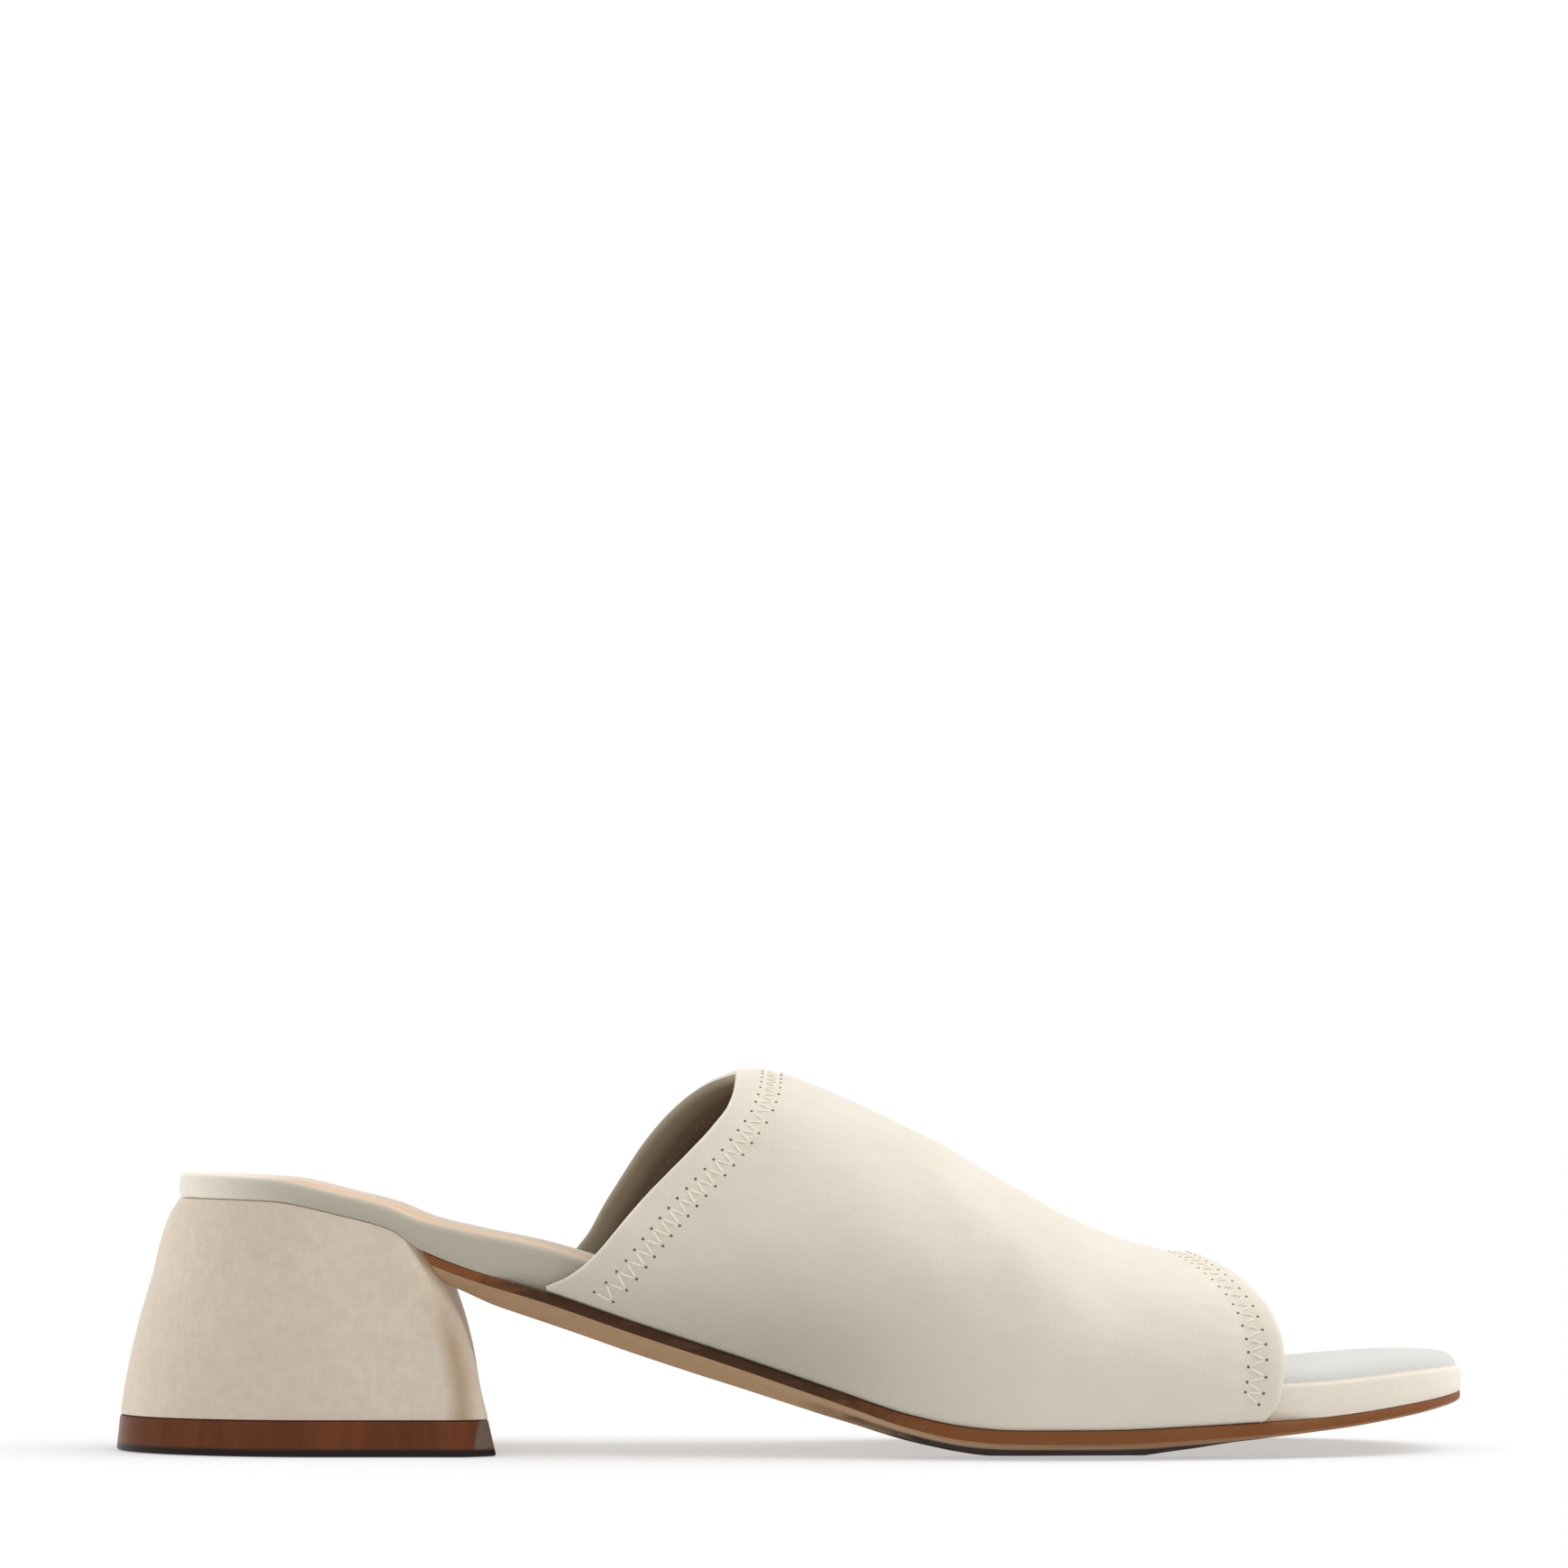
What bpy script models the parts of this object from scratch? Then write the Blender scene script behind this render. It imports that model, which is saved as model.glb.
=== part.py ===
"""Block heel mule with an open toe, for the right foot.

A one-piece vamp is pulled down over a wrapped footbed and held by a bevelled outsole.
A covered block heel with a hard top lift carries the seat.
Units are metres. +X runs to the toe, +Y to the inner side of the foot, +Z up.
The origin lies on the floor under the middle of the shoe's box.
"""

import math
from bisect import bisect_right
from collections import namedtuple

import bmesh
import bpy
from mathutils import Matrix, Vector

# The last: plan of the footbed and heights over the floor
FOOTBED_LENGTH = 0.2400
HEEL_WIDTH = 0.0535
WAIST_WIDTH = 0.0460
BALL_WIDTH = 0.0780
TOE_WIDTH = 0.0700
SEAT_HEIGHT = 0.0470
BALL_HEIGHT = 0.0054
TOE_SPRING = 0.0056
INSTEP_RISE = 0.0525
HEEL_ROUND = 0.0270
TOE_ROUND = 0.0400
TOE_SWING = 0.0030
SWING_STATION = 0.4

# Footbed and sock
FOOTBED_THICKNESS = 0.0086
FOOTBED_EDGE_ROUND = 0.0016
EDGE_ROUND_SHARE = 0.6
SOCK_THICKNESS = 0.0008
SOCK_RECESS = 0.0008
WELL_SLOPE = 0.0010
WELL_RAMP = 0.0100
SOCK_LENGTH = 0.1180

# Upper
WALL = 0.0018
HEM_WALL = 0.0025
HEM_WIDTH = 0.0080
HEM_RAMP_SHARE = 0.4
HEM_ROUND = 0.0005
VAMP_BELLY = 0.0030
BELLY_HEIGHT_SHARE = 0.25
BELLY_GIRTH_SHARE = 0.20
THROAT_STATION = 0.4354
QUARTER_DROP = 0.0351
TOE_EDGE_STATION = 0.8020
TOE_EDGE_ADVANCE = 0.0116

# Outsole
OUTSOLE_THICKNESS = 0.0057
EDGE_BAND = 0.0024
EDGE_LIP = 0.0005
BEVEL_INSET = 0.0090
BEVEL_BREAK_DROP = 0.66
BEVEL_BREAK_INSET = 0.52
COVER_RAMP = 0.0120

# Heel and top lift
LIFT_THICKNESS = 0.0064
LIFT_FLARE = 0.0006
LIFT_FRONT_FLARE = 0.0014
HEEL_BASE_WIDTH = 0.0580
HEEL_BACK_FLARE = 0.0110
HEEL_TOP_LENGTH = 0.0470
HEEL_BASE_LENGTH = 0.0684
HEEL_CORNER_ROUND = 0.0042
BREAST_SKEW = 0.0035

# Space left between pieces that meet
GAP = 0.0003

# How finely the pieces are cut
PLAN_STEPS = 40
EDGE_ROUND_STEPS = 3
HEEL_BACK_STEPS = 14
HEEL_SIDE_STEPS = 4
HEEL_CORNER_STEPS = 5
HEEL_LAYERS = 14
BREAST_PASSES = 12
VAMP_LENGTH_STEPS = 26
VAMP_GIRTH_STEPS = 44
HEM_CROWDING = 0.35
ANGLE_STEP = 1e-4
SAME_POINT = 1e-7
SHADE_ANGLE = math.radians(35)
RIM_ANGLE = math.radians(50)

LATERAL = -1
MEDIAL = 1

# Each plan row follows one named width: the share of it on either side of the axis
PlanRow = namedtuple("PlanRow", "station width lateral medial")
PLAN = (
    PlanRow(0.00, HEEL_WIDTH, 0.490, 0.490),
    PlanRow(0.12, HEEL_WIDTH, 0.505, 0.495),
    PlanRow(0.22, HEEL_WIDTH, 0.492, 0.455),
    PlanRow(0.32, WAIST_WIDTH, 0.550, 0.465),
    PlanRow(0.41, WAIST_WIDTH, 0.570, 0.430),
    PlanRow(0.50, WAIST_WIDTH, 0.660, 0.510),
    PlanRow(0.59, BALL_WIDTH, 0.455, 0.395),
    PlanRow(0.67, BALL_WIDTH, 0.500, 0.470),
    PlanRow(0.75, BALL_WIDTH, 0.492, 0.508),
    PlanRow(0.84, TOE_WIDTH, 0.500, 0.535),
    PlanRow(1.00, TOE_WIDTH, 0.470, 0.510),
)

# The line between footbed and outsole: climb to the seat, spring to the toe, footbed depth
LineRow = namedtuple("LineRow", "station climb spring depth")
LINE = (
    LineRow(0.000, 1.000, 0.00, 0.53),
    LineRow(0.077, 0.988, 0.00, 0.46),
    LineRow(0.135, 0.923, 0.00, 0.43),
    LineRow(0.170, 0.866, 0.00, 0.45),
    LineRow(0.195, 0.772, 0.00, 0.62),
    LineRow(0.232, 0.690, 0.00, 0.77),
    LineRow(0.288, 0.596, 0.00, 0.90),
    LineRow(0.358, 0.457, 0.00, 0.97),
    LineRow(0.450, 0.284, 0.00, 0.99),
    LineRow(0.513, 0.163, 0.00, 1.00),
    LineRow(0.569, 0.060, 0.00, 1.00),
    LineRow(0.613, 0.012, 0.00, 1.00),
    LineRow(0.646, 0.000, 0.00, 1.00),
    LineRow(0.708, 0.000, 0.00, 1.00),
    LineRow(0.788, 0.000, 0.12, 1.00),
    LineRow(0.879, 0.000, 0.34, 0.95),
    LineRow(0.953, 0.000, 0.71, 0.88),
    LineRow(1.000, 0.000, 1.00, 0.75),
)

# The vamp's cross sections: shares of the instep's rise, of the belly and of the half width
# at which the crest runs, and how full the arch is
VampRow = namedtuple("VampRow", "station crest belly crest_shift fullness")
VAMP = (
    VampRow(0.250, 0.76, 1.00, 0.05, 2.0),
    VampRow(0.358, 0.90, 1.00, 0.06, 2.0),
    VampRow(0.435, 1.00, 1.00, 0.08, 2.0),
    VampRow(0.475, 1.038, 0.87, 0.09, 2.0),
    VampRow(0.528, 1.019, 0.67, 0.10, 2.05),
    VampRow(0.585, 0.970, 0.47, 0.11, 2.1),
    VampRow(0.641, 0.852, 0.33, 0.12, 2.15),
    VampRow(0.698, 0.708, 0.33, 0.13, 2.2),
    VampRow(0.755, 0.608, 0.33, 0.14, 2.25),
    VampRow(0.797, 0.564, 0.33, 0.15, 2.3),
    VampRow(0.900, 0.480, 0.33, 0.15, 2.3),
)

# Collar and toe opening over the girth, from the sole (0) to the crest (1) on either side
EdgeRow = namedtuple("EdgeRow", "girth lateral medial")
COLLAR = (
    EdgeRow(0.00, 1.00, 1.02),
    EdgeRow(0.05, 0.91, 0.97),
    EdgeRow(0.12, 0.79, 0.90),
    EdgeRow(0.30, 0.56, 0.73),
    EdgeRow(0.45, 0.32, 0.58),
    EdgeRow(0.60, 0.14, 0.42),
    EdgeRow(0.80, 0.025, 0.20),
    EdgeRow(1.00, 0.00, 0.00),
)
TOE_EDGE = (
    EdgeRow(0.00, 0.69, 0.85),
    EdgeRow(0.11, 0.92, 1.05),
    EdgeRow(0.30, 1.00, 1.10),
    EdgeRow(0.50, 0.87, 0.95),
    EdgeRow(0.65, 0.62, 0.70),
    EdgeRow(0.82, 0.26, 0.30),
    EdgeRow(1.00, 0.00, 0.00),
)

# Outsole along its length: shares of its thickness, of the edge band and of the bevel
OutsoleRow = namedtuple("OutsoleRow", "station thickness band bevel")
OUTSOLE = (
    OutsoleRow(0.190, 0.66, 0.70, 0.30),
    OutsoleRow(0.225, 0.76, 0.74, 0.36),
    OutsoleRow(0.255, 0.92, 0.80, 0.40),
    OutsoleRow(0.300, 1.00, 0.84, 0.44),
    OutsoleRow(0.450, 1.02, 0.88, 0.56),
    OutsoleRow(0.530, 1.00, 0.95, 0.90),
    OutsoleRow(0.600, 1.00, 1.06, 1.50),
    OutsoleRow(0.720, 1.00, 1.02, 1.70),
    OutsoleRow(0.790, 0.85, 0.95, 1.60),
    OutsoleRow(0.830, 0.66, 0.90, 1.40),
    OutsoleRow(0.880, 0.54, 0.78, 1.10),
    OutsoleRow(0.950, 0.43, 0.66, 0.70),
    OutsoleRow(1.000, 0.30, 0.50, 0.45),
)

# Heel from its base (0) to the seat (1): shares still to go of the back flare and of the breast
HeelRow = namedtuple("HeelRow", "height flare breast")
HEEL = (
    HeelRow(0.00, 1.00, 0.00),
    HeelRow(0.17, 0.90, 0.10),
    HeelRow(0.34, 0.77, 0.18),
    HeelRow(0.50, 0.62, 0.29),
    HeelRow(0.65, 0.46, 0.43),
    HeelRow(0.80, 0.33, 0.62),
    HeelRow(0.92, 0.18, 0.82),
    HeelRow(1.00, 0.00, 1.00),
)


def through_rows(rows, key, column):
    """Return a smooth function that runs through one column of a table without overshoot."""
    xs = [getattr(row, key) for row in rows]
    ys = [getattr(row, column) for row in rows]
    steps = [b - a for a, b in zip(xs, xs[1:])]
    slopes = [(b - a) / step for a, b, step in zip(ys, ys[1:], steps)]
    tangents = [slopes[0]]
    for before, after in zip(slopes, slopes[1:]):
        tangents.append(0.0 if before * after <= 0.0 else 2.0 * before * after / (before + after))
    tangents.append(slopes[-1])

    def value(x):
        x = min(max(x, xs[0]), xs[-1])
        i = min(bisect_right(xs, x) - 1, len(steps) - 1)
        t = (x - xs[i]) / steps[i]
        rise = 3 * t ** 2 - 2 * t ** 3
        start = t - 2 * t ** 2 + t ** 3
        end = t ** 3 - t ** 2
        return ys[i] + rise * (ys[i + 1] - ys[i]) + steps[i] * (start * tangents[i] + end * tangents[i + 1])

    return value


def half_width_rows(side_name):
    """The plan rows of one side as real half widths."""
    row_type = namedtuple("HalfWidthRow", "station half")
    return [row_type(row.station, row.width * getattr(row, side_name)) for row in PLAN]


plan_half = {
    LATERAL: through_rows(half_width_rows("lateral"), "station", "half"),
    MEDIAL: through_rows(half_width_rows("medial"), "station", "half"),
}
line_climb = through_rows(LINE, "station", "climb")
line_spring = through_rows(LINE, "station", "spring")
footbed_depth = through_rows(LINE, "station", "depth")
vamp_crest = through_rows(VAMP, "station", "crest")
vamp_belly = through_rows(VAMP, "station", "belly")
vamp_shift = through_rows(VAMP, "station", "crest_shift")
vamp_fullness = through_rows(VAMP, "station", "fullness")
collar_setback = {
    LATERAL: through_rows(COLLAR, "girth", "lateral"),
    MEDIAL: through_rows(COLLAR, "girth", "medial"),
}
toe_advance = {
    LATERAL: through_rows(TOE_EDGE, "girth", "lateral"),
    MEDIAL: through_rows(TOE_EDGE, "girth", "medial"),
}
outsole_share = through_rows(OUTSOLE, "station", "thickness")
band_share = through_rows(OUTSOLE, "station", "band")
bevel_share = through_rows(OUTSOLE, "station", "bevel")
heel_flare = through_rows(HEEL, "height", "flare")
heel_breast = through_rows(HEEL, "height", "breast")


def smooth_step(x):
    """Ease from 0 to 1."""
    x = min(max(x, 0.0), 1.0)
    return x * x * (3.0 - 2.0 * x)


def round_end(distance, reach):
    """Share of the full width at a distance from a rounded end."""
    if distance >= reach:
        return 1.0
    return math.sqrt(max(0.0, 1.0 - (1.0 - distance / reach) ** 2))


def swing(s):
    """How far the plan's axis has swung to the inner side at a distance from the back."""
    share = (s / FOOTBED_LENGTH - SWING_STATION) / (1.0 - SWING_STATION)
    return TOE_SWING * smooth_step(share)


def half_width(s, side):
    """Half width of the footbed on one side of its axis."""
    ends = round_end(s, HEEL_ROUND) * round_end(FOOTBED_LENGTH - s, TOE_ROUND)
    return plan_half[side](s / FOOTBED_LENGTH) * ends


def last_line(s):
    """Height over the floor of the line between the footbed and what carries it."""
    station = s / FOOTBED_LENGTH
    climb = (SEAT_HEIGHT - BALL_HEIGHT) * line_climb(station)
    return BALL_HEIGHT + climb + TOE_SPRING * line_spring(station)


def footbed_under(s):
    """Height over the floor of the footbed's underside and the upper's lower edge."""
    return last_line(s) + GAP / 2


def sole_top(s):
    """Height over the floor of the faces that carry the footbed."""
    return last_line(s) - GAP / 2


def footbed_top(s):
    """Height over the floor of the footbed's crown."""
    return footbed_under(s) + FOOTBED_THICKNESS * footbed_depth(s / FOOTBED_LENGTH)


def well(s):
    """Depth of the well that takes the sock in the footbed's crown."""
    depth = SOCK_RECESS + SOCK_THICKNESS + GAP
    return depth * (1.0 - smooth_step((s - SOCK_LENGTH) / WELL_RAMP))


def vamp_point(s, girth, side):
    """A point of the upper's outer face, by distance from the back and share of the girth."""
    station = s / FOOTBED_LENGTH
    belly = VAMP_BELLY * vamp_belly(station)
    bottom = footbed_under(s)
    crest = INSTEP_RISE * vamp_crest(station)
    belly_height = BELLY_HEIGHT_SHARE * crest
    wide = half_width(s, side) + GAP + WALL + belly
    if girth < BELLY_GIRTH_SHARE:
        climb = girth / BELLY_GIRTH_SHARE
        y = side * (wide - belly * (1.0 - climb) ** 2)
        z = bottom + belly_height * climb
    else:
        angle = 0.5 * math.pi * (girth - BELLY_GIRTH_SHARE) / (1.0 - BELLY_GIRTH_SHARE)
        power = 2.0 / vamp_fullness(station)
        crest_y = vamp_shift(station) * wide
        y = crest_y + (side * wide - crest_y) * max(math.cos(angle), 0.0) ** power
        z = bottom + belly_height + (crest - belly_height) * math.sin(angle) ** power
    return Vector((s, y + swing(s), z))


def collar_station(girth, side):
    """Distance from the back at which the collar lies."""
    return THROAT_STATION * FOOTBED_LENGTH - QUARTER_DROP * collar_setback[side](girth)


def toe_edge_station(girth, side):
    """Distance from the back at which the toe opening lies."""
    return TOE_EDGE_STATION * FOOTBED_LENGTH + TOE_EDGE_ADVANCE * toe_advance[side](girth)


def cover(s, side):
    """1 where the upper stands on the outsole, easing to 0 beyond its two edges."""
    behind = smooth_step((s - collar_station(0.0, side)) / COVER_RAMP + 1.0)
    ahead = smooth_step((toe_edge_station(0.0, side) - s) / COVER_RAMP + 1.0)
    return behind * ahead


def plan_angle(s):
    """Angle of the even plan spacing at a distance from the back."""
    return math.acos(1.0 - 2.0 * s / FOOTBED_LENGTH)


def plan_distance(angle):
    """Distance from the back at an angle of the even plan spacing."""
    return FOOTBED_LENGTH * (1.0 - math.cos(angle)) / 2


def plan_point(angle, side, outset):
    """A point of the footbed's edge moved out along the edge's normal.

    The angle runs from 0 at the back to pi at the toe, so both round ends are cut finely.
    """
    s = plan_distance(angle)
    middle = Vector((s, side * half_width(s, side)))
    if angle < ANGLE_STEP or angle > math.pi - ANGLE_STEP:
        normal = Vector((-1.0 if angle < ANGLE_STEP else 1.0, 0.0))
    else:
        near = []
        for turn in (angle - ANGLE_STEP, angle + ANGLE_STEP):
            d = plan_distance(turn)
            near.append(Vector((d, side * half_width(d, side))))
        along = (near[1] - near[0]).normalized()
        normal = Vector((along.y, -along.x)) * -side
    moved = middle + normal * outset
    return moved.x, moved.y + swing(s)


def plan_layer(angles, outset, height):
    """One closed layer of a flat piece, as pairs of points on its two sides."""
    layer = []
    for angle in angles:
        pair = []
        for side in (LATERAL, MEDIAL):
            s = plan_distance(angle)
            x, y = plan_point(angle, side, outset(s, side))
            pair.append(Vector((x, y, height(s))))
        layer.append(tuple(pair))
    return layer


def plan_angles(start, end, count):
    """Even angles from one distance to another."""
    first = plan_angle(start)
    last = plan_angle(end)
    return [first + (last - first) * i / count for i in range(count + 1)]


def skin(name, layers, material):
    """Make a solid from layers of point pairs, bottom first, closed by rungs at both ends."""
    mesh = bmesh.new()
    rows = []
    for layer in layers:
        row = []
        for lateral, medial in layer:
            one = mesh.verts.new(lateral)
            other = one if (lateral - medial).length < SAME_POINT else mesh.verts.new(medial)
            row.append((one, other))
        rows.append(row)

    def add_face(*verts):
        kept = list(dict.fromkeys(verts))
        if len(kept) > 2:
            mesh.faces.new(kept)

    for low, high in zip(rows, rows[1:]):
        for i in range(len(low) - 1):
            add_face(low[i][0], low[i + 1][0], high[i + 1][0], high[i][0])
            add_face(low[i + 1][1], low[i][1], high[i][1], high[i + 1][1])
        for i in (0, -1):
            if low[i][0] is not low[i][1]:
                add_face(low[i][1], low[i][0], high[i][0], high[i][1])
    for row in (rows[0], rows[-1]):
        for near, far in zip(row, row[1:]):
            add_face(near[0], far[0], far[1], near[1])
    bmesh.ops.recalc_face_normals(mesh, faces=mesh.faces)
    return add_object(name, mesh, material)


def add_object(name, mesh, material):
    """Turn a bmesh into a named, shaded object of the shoe's collection."""
    data = bpy.data.meshes.new(name)
    mesh.to_mesh(data)
    mesh.free()
    data.materials.append(material)
    data.shade_smooth()
    data.set_sharp_from_angle(angle=SHADE_ANGLE)
    item = bpy.data.objects.new(name, data)
    shoe.objects.link(item)
    return item


def finish(name, colour, roughness):
    """A plain material with a colour and a roughness."""
    material = bpy.data.materials.new(name)
    material.use_nodes = True
    shader = material.node_tree.nodes["Principled BSDF"]
    shader.inputs["Base Color"].default_value = (*colour, 1.0)
    shader.inputs["Roughness"].default_value = roughness
    shader.inputs["Metallic"].default_value = 0.0
    return material


def make_footbed(material):
    """The wrapped footbed: upright edge, rounded top edge, flat crown."""
    angles = plan_angles(0.0, FOOTBED_LENGTH, PLAN_STEPS)

    def edge_round(s):
        return min(FOOTBED_EDGE_ROUND, EDGE_ROUND_SHARE * (footbed_top(s) - footbed_under(s)))

    layers = [
        plan_layer(angles, lambda s, side: -GAP, footbed_under),
        plan_layer(angles, lambda s, side: 0.0, lambda s: footbed_under(s) + GAP),
    ]
    for step in range(EDGE_ROUND_STEPS + 1):
        turn = 0.5 * math.pi * step / EDGE_ROUND_STEPS
        layers.append(plan_layer(
            angles,
            lambda s, side, a=turn: -edge_round(s) * (1.0 - math.cos(a)),
            lambda s, a=turn: footbed_top(s) - edge_round(s) * (1.0 - math.sin(a)),
        ))
    layers.append(plan_layer(
        angles,
        lambda s, side: -FOOTBED_EDGE_ROUND - WELL_SLOPE,
        lambda s: footbed_top(s) - well(s),
    ))
    return skin("footbed", layers, material)


def make_sock(material):
    """The thin half sock on the footbed, from the back to under the vamp."""
    angles = plan_angles(0.0, SOCK_LENGTH, PLAN_STEPS // 2)
    layers = []
    for rise in (GAP, GAP + SOCK_THICKNESS):
        layers.append(plan_layer(
            angles,
            lambda s, side: -FOOTBED_EDGE_ROUND - WELL_SLOPE - GAP,
            lambda s, up=rise: footbed_top(s) - well(0.0) + up,
        ))
    return skin("sock", layers, material)


def breast(share, side):
    """Distance from the back of the heel's front face, by share of the heel's height."""
    base = HEEL_BASE_LENGTH - HEEL_BACK_FLARE - side * BREAST_SKEW / 2
    return base + (HEEL_TOP_LENGTH - base) * heel_breast(share)


def heel_height(s, share):
    """Height over the floor of the heel by share of its height under the footbed."""
    base = LIFT_THICKNESS + GAP
    return base + (sole_top(s) - base) * share


def breast_under(height, side):
    """Distance from the back at which a line of heights meets the heel's front face."""
    base = LIFT_THICKNESS + GAP
    s = HEEL_TOP_LENGTH
    for _ in range(BREAST_PASSES):
        s = breast((height(s) - base) / (sole_top(s) - base), side)
    return s


def outsole_under(s):
    """Height over the floor of the outsole's underside, flat where it treads."""
    thickness = OUTSOLE_THICKNESS * outsole_share(s / FOOTBED_LENGTH)
    return max(0.0, sole_top(s) - thickness)


def make_outsole(material):
    """The outsole: upright edge band, small lip, bevel, and a flat tread under the ball."""
    def band_under(s):
        return sole_top(s) - EDGE_BAND * band_share(s / FOOTBED_LENGTH)

    def bevel(s):
        return BEVEL_INSET * bevel_share(s / FOOTBED_LENGTH)

    def bevel_break(s):
        return band_under(s) - (band_under(s) - outsole_under(s)) * BEVEL_BREAK_DROP

    steps = (
        (outsole_under, bevel),
        (bevel_break, lambda s: bevel(s) * BEVEL_BREAK_INSET),
        (lambda s: band_under(s) - EDGE_LIP, lambda s: EDGE_LIP),
        (band_under, lambda s: 0.0),
        (sole_top, lambda s: 0.0),
    )
    layers = []
    for height, inset in steps:
        starts = [breast_under(height, side) + GAP for side in (LATERAL, MEDIAL)]
        angles = plan_angles(max(starts), FOOTBED_LENGTH, PLAN_STEPS)
        layer = plan_layer(
            angles,
            lambda s, side, inset=inset: cover(s, side) * (WALL + GAP) - inset(s),
            height,
        )
        for corner, start in zip(layer[0], starts):
            corner.x = start
            corner.z = height(start)
        layers.append(layer)
    return skin("outsole", layers, material)


def heel_stations():
    """Shares of the heel's length: fine round the back and at the front corner."""
    back = HEEL_ROUND / HEEL_TOP_LENGTH
    corner = 1.0 - HEEL_CORNER_ROUND / HEEL_BASE_LENGTH
    shares = [back * (1.0 - math.cos(0.5 * math.pi * i / HEEL_BACK_STEPS)) for i in range(HEEL_BACK_STEPS)]
    shares += [back + (corner - back) * i / HEEL_SIDE_STEPS for i in range(HEEL_SIDE_STEPS)]
    shares += [
        corner + (1.0 - corner) * math.sin(0.5 * math.pi * i / HEEL_CORNER_STEPS)
        for i in range(HEEL_CORNER_STEPS + 1)
    ]
    return shares, back, corner


def heel_layer(share, grow=0.0, front=0.0):
    """One layer of the heel or the lift as point pairs in the plan, without height."""
    shares, back, corner = heel_stations()
    start = -HEEL_BACK_FLARE * heel_flare(share) - grow
    layer = []
    for station in shares:
        cut = 0.0
        if station > corner:
            turn = (station - corner) / (1.0 - corner)
            cut = HEEL_CORNER_ROUND * (1.0 - math.sqrt(max(0.0, 1.0 - turn ** 2)))
        pair = []
        for side in (LATERAL, MEDIAL):
            s = start + (breast(share, side) + front - start) * station
            seat = half_width(HEEL_TOP_LENGTH * station, side)
            base = HEEL_BASE_WIDTH / 2 * round_end(station, back)
            wide = seat + (base - seat) * heel_flare(share)
            wide = (wide + grow * round_end(station, back) - cut) if wide > 0.0 else 0.0
            pair.append((s, side * wide))
        layer.append(pair)
    return layer


def make_heel(material):
    """The covered block heel: flared down, cut to the last line at its top."""
    layers = []
    for i in range(HEEL_LAYERS + 1):
        share = math.sin(0.5 * math.pi * i / HEEL_LAYERS)
        layer = []
        for pair in heel_layer(share):
            layer.append(tuple(Vector((s, y, heel_height(s, share))) for s, y in pair))
        layers.append(layer)
    return skin("heel", layers, material)


def make_lift(material):
    """The hard top lift under the heel, flat on the floor."""
    layers = []
    for height, grow, front in ((0.0, LIFT_FLARE, LIFT_FRONT_FLARE), (LIFT_THICKNESS, 0.0, 0.0)):
        layer = []
        for pair in heel_layer(0.0, grow, front):
            layer.append(tuple(Vector((s, y, height)) for s, y in pair))
        layers.append(layer)
    return skin("top_lift", layers, material)


def make_upper(material):
    """The vamp: its outer face as an open sheet, thickened inwards, with turned hems."""
    mesh = bmesh.new()
    grid = []
    hem = {}
    half = VAMP_GIRTH_STEPS // 2
    sides = [(LATERAL, i / half) for i in range(half + 1)]
    sides += [(MEDIAL, 1.0 - i / half) for i in range(1, half + 1)]
    for side, girth in sides:
        start = collar_station(girth, side)
        end = toe_edge_station(girth, side)
        column = []
        for i in range(VAMP_LENGTH_STEPS + 1):
            share = i / VAMP_LENGTH_STEPS
            eased = share - HEM_CROWDING * math.sin(2.0 * math.pi * share) / (2.0 * math.pi)
            s = start + (end - start) * eased
            vert = mesh.verts.new(vamp_point(s, girth, side))
            edge_distance = min(s - start, end - s)
            turned = 1.0 - smooth_step((edge_distance / HEM_WIDTH - 1.0) / HEM_RAMP_SHARE + 1.0)
            clear = smooth_step((vert.co.z - footbed_top(s)) / FOOTBED_THICKNESS)
            hem[len(mesh.verts) - 1] = turned * clear
            column.append(vert)
        grid.append(column)
    for near, far in zip(grid, grid[1:]):
        for i in range(VAMP_LENGTH_STEPS):
            mesh.faces.new((near[i], near[i + 1], far[i + 1], far[i]))
    upper = add_object("upper", mesh, material)

    thickness = upper.vertex_groups.new(name="wall")
    for index, share in hem.items():
        thickness.add([index], share, "REPLACE")
    shell = upper.modifiers.new("wall", "SOLIDIFY")
    shell.thickness = HEM_WALL
    shell.offset = -1.0
    shell.use_even_offset = True
    shell.vertex_group = thickness.name
    shell.thickness_vertex_group = WALL / HEM_WALL
    rim = upper.modifiers.new("rim", "BEVEL")
    rim.width = HEM_ROUND
    rim.segments = 2
    rim.limit_method = "ANGLE"
    rim.angle_limit = RIM_ANGLE
    return upper


def stand_on_origin(items):
    """Move every mesh so that the shoe's box stands centred on the origin."""
    bpy.context.view_layer.update()
    graph = bpy.context.evaluated_depsgraph_get()
    corners = []
    for item in items:
        whole = item.evaluated_get(graph)
        corners += [Vector(vert.co) for vert in whole.data.vertices]
    low = Vector([min(corner[axis] for corner in corners) for axis in range(3)])
    high = Vector([max(corner[axis] for corner in corners) for axis in range(3)])
    middle = (low + high) / 2
    for item in items:
        item.data.transform(Matrix.Translation((-middle.x, -middle.y, -low.z)))
        item.data.update()


for old in list(bpy.data.objects):
    bpy.data.objects.remove(old, do_unlink=True)

shoe = bpy.data.collections.new("block_heel_mule")
bpy.context.scene.collection.children.link(shoe)

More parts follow.
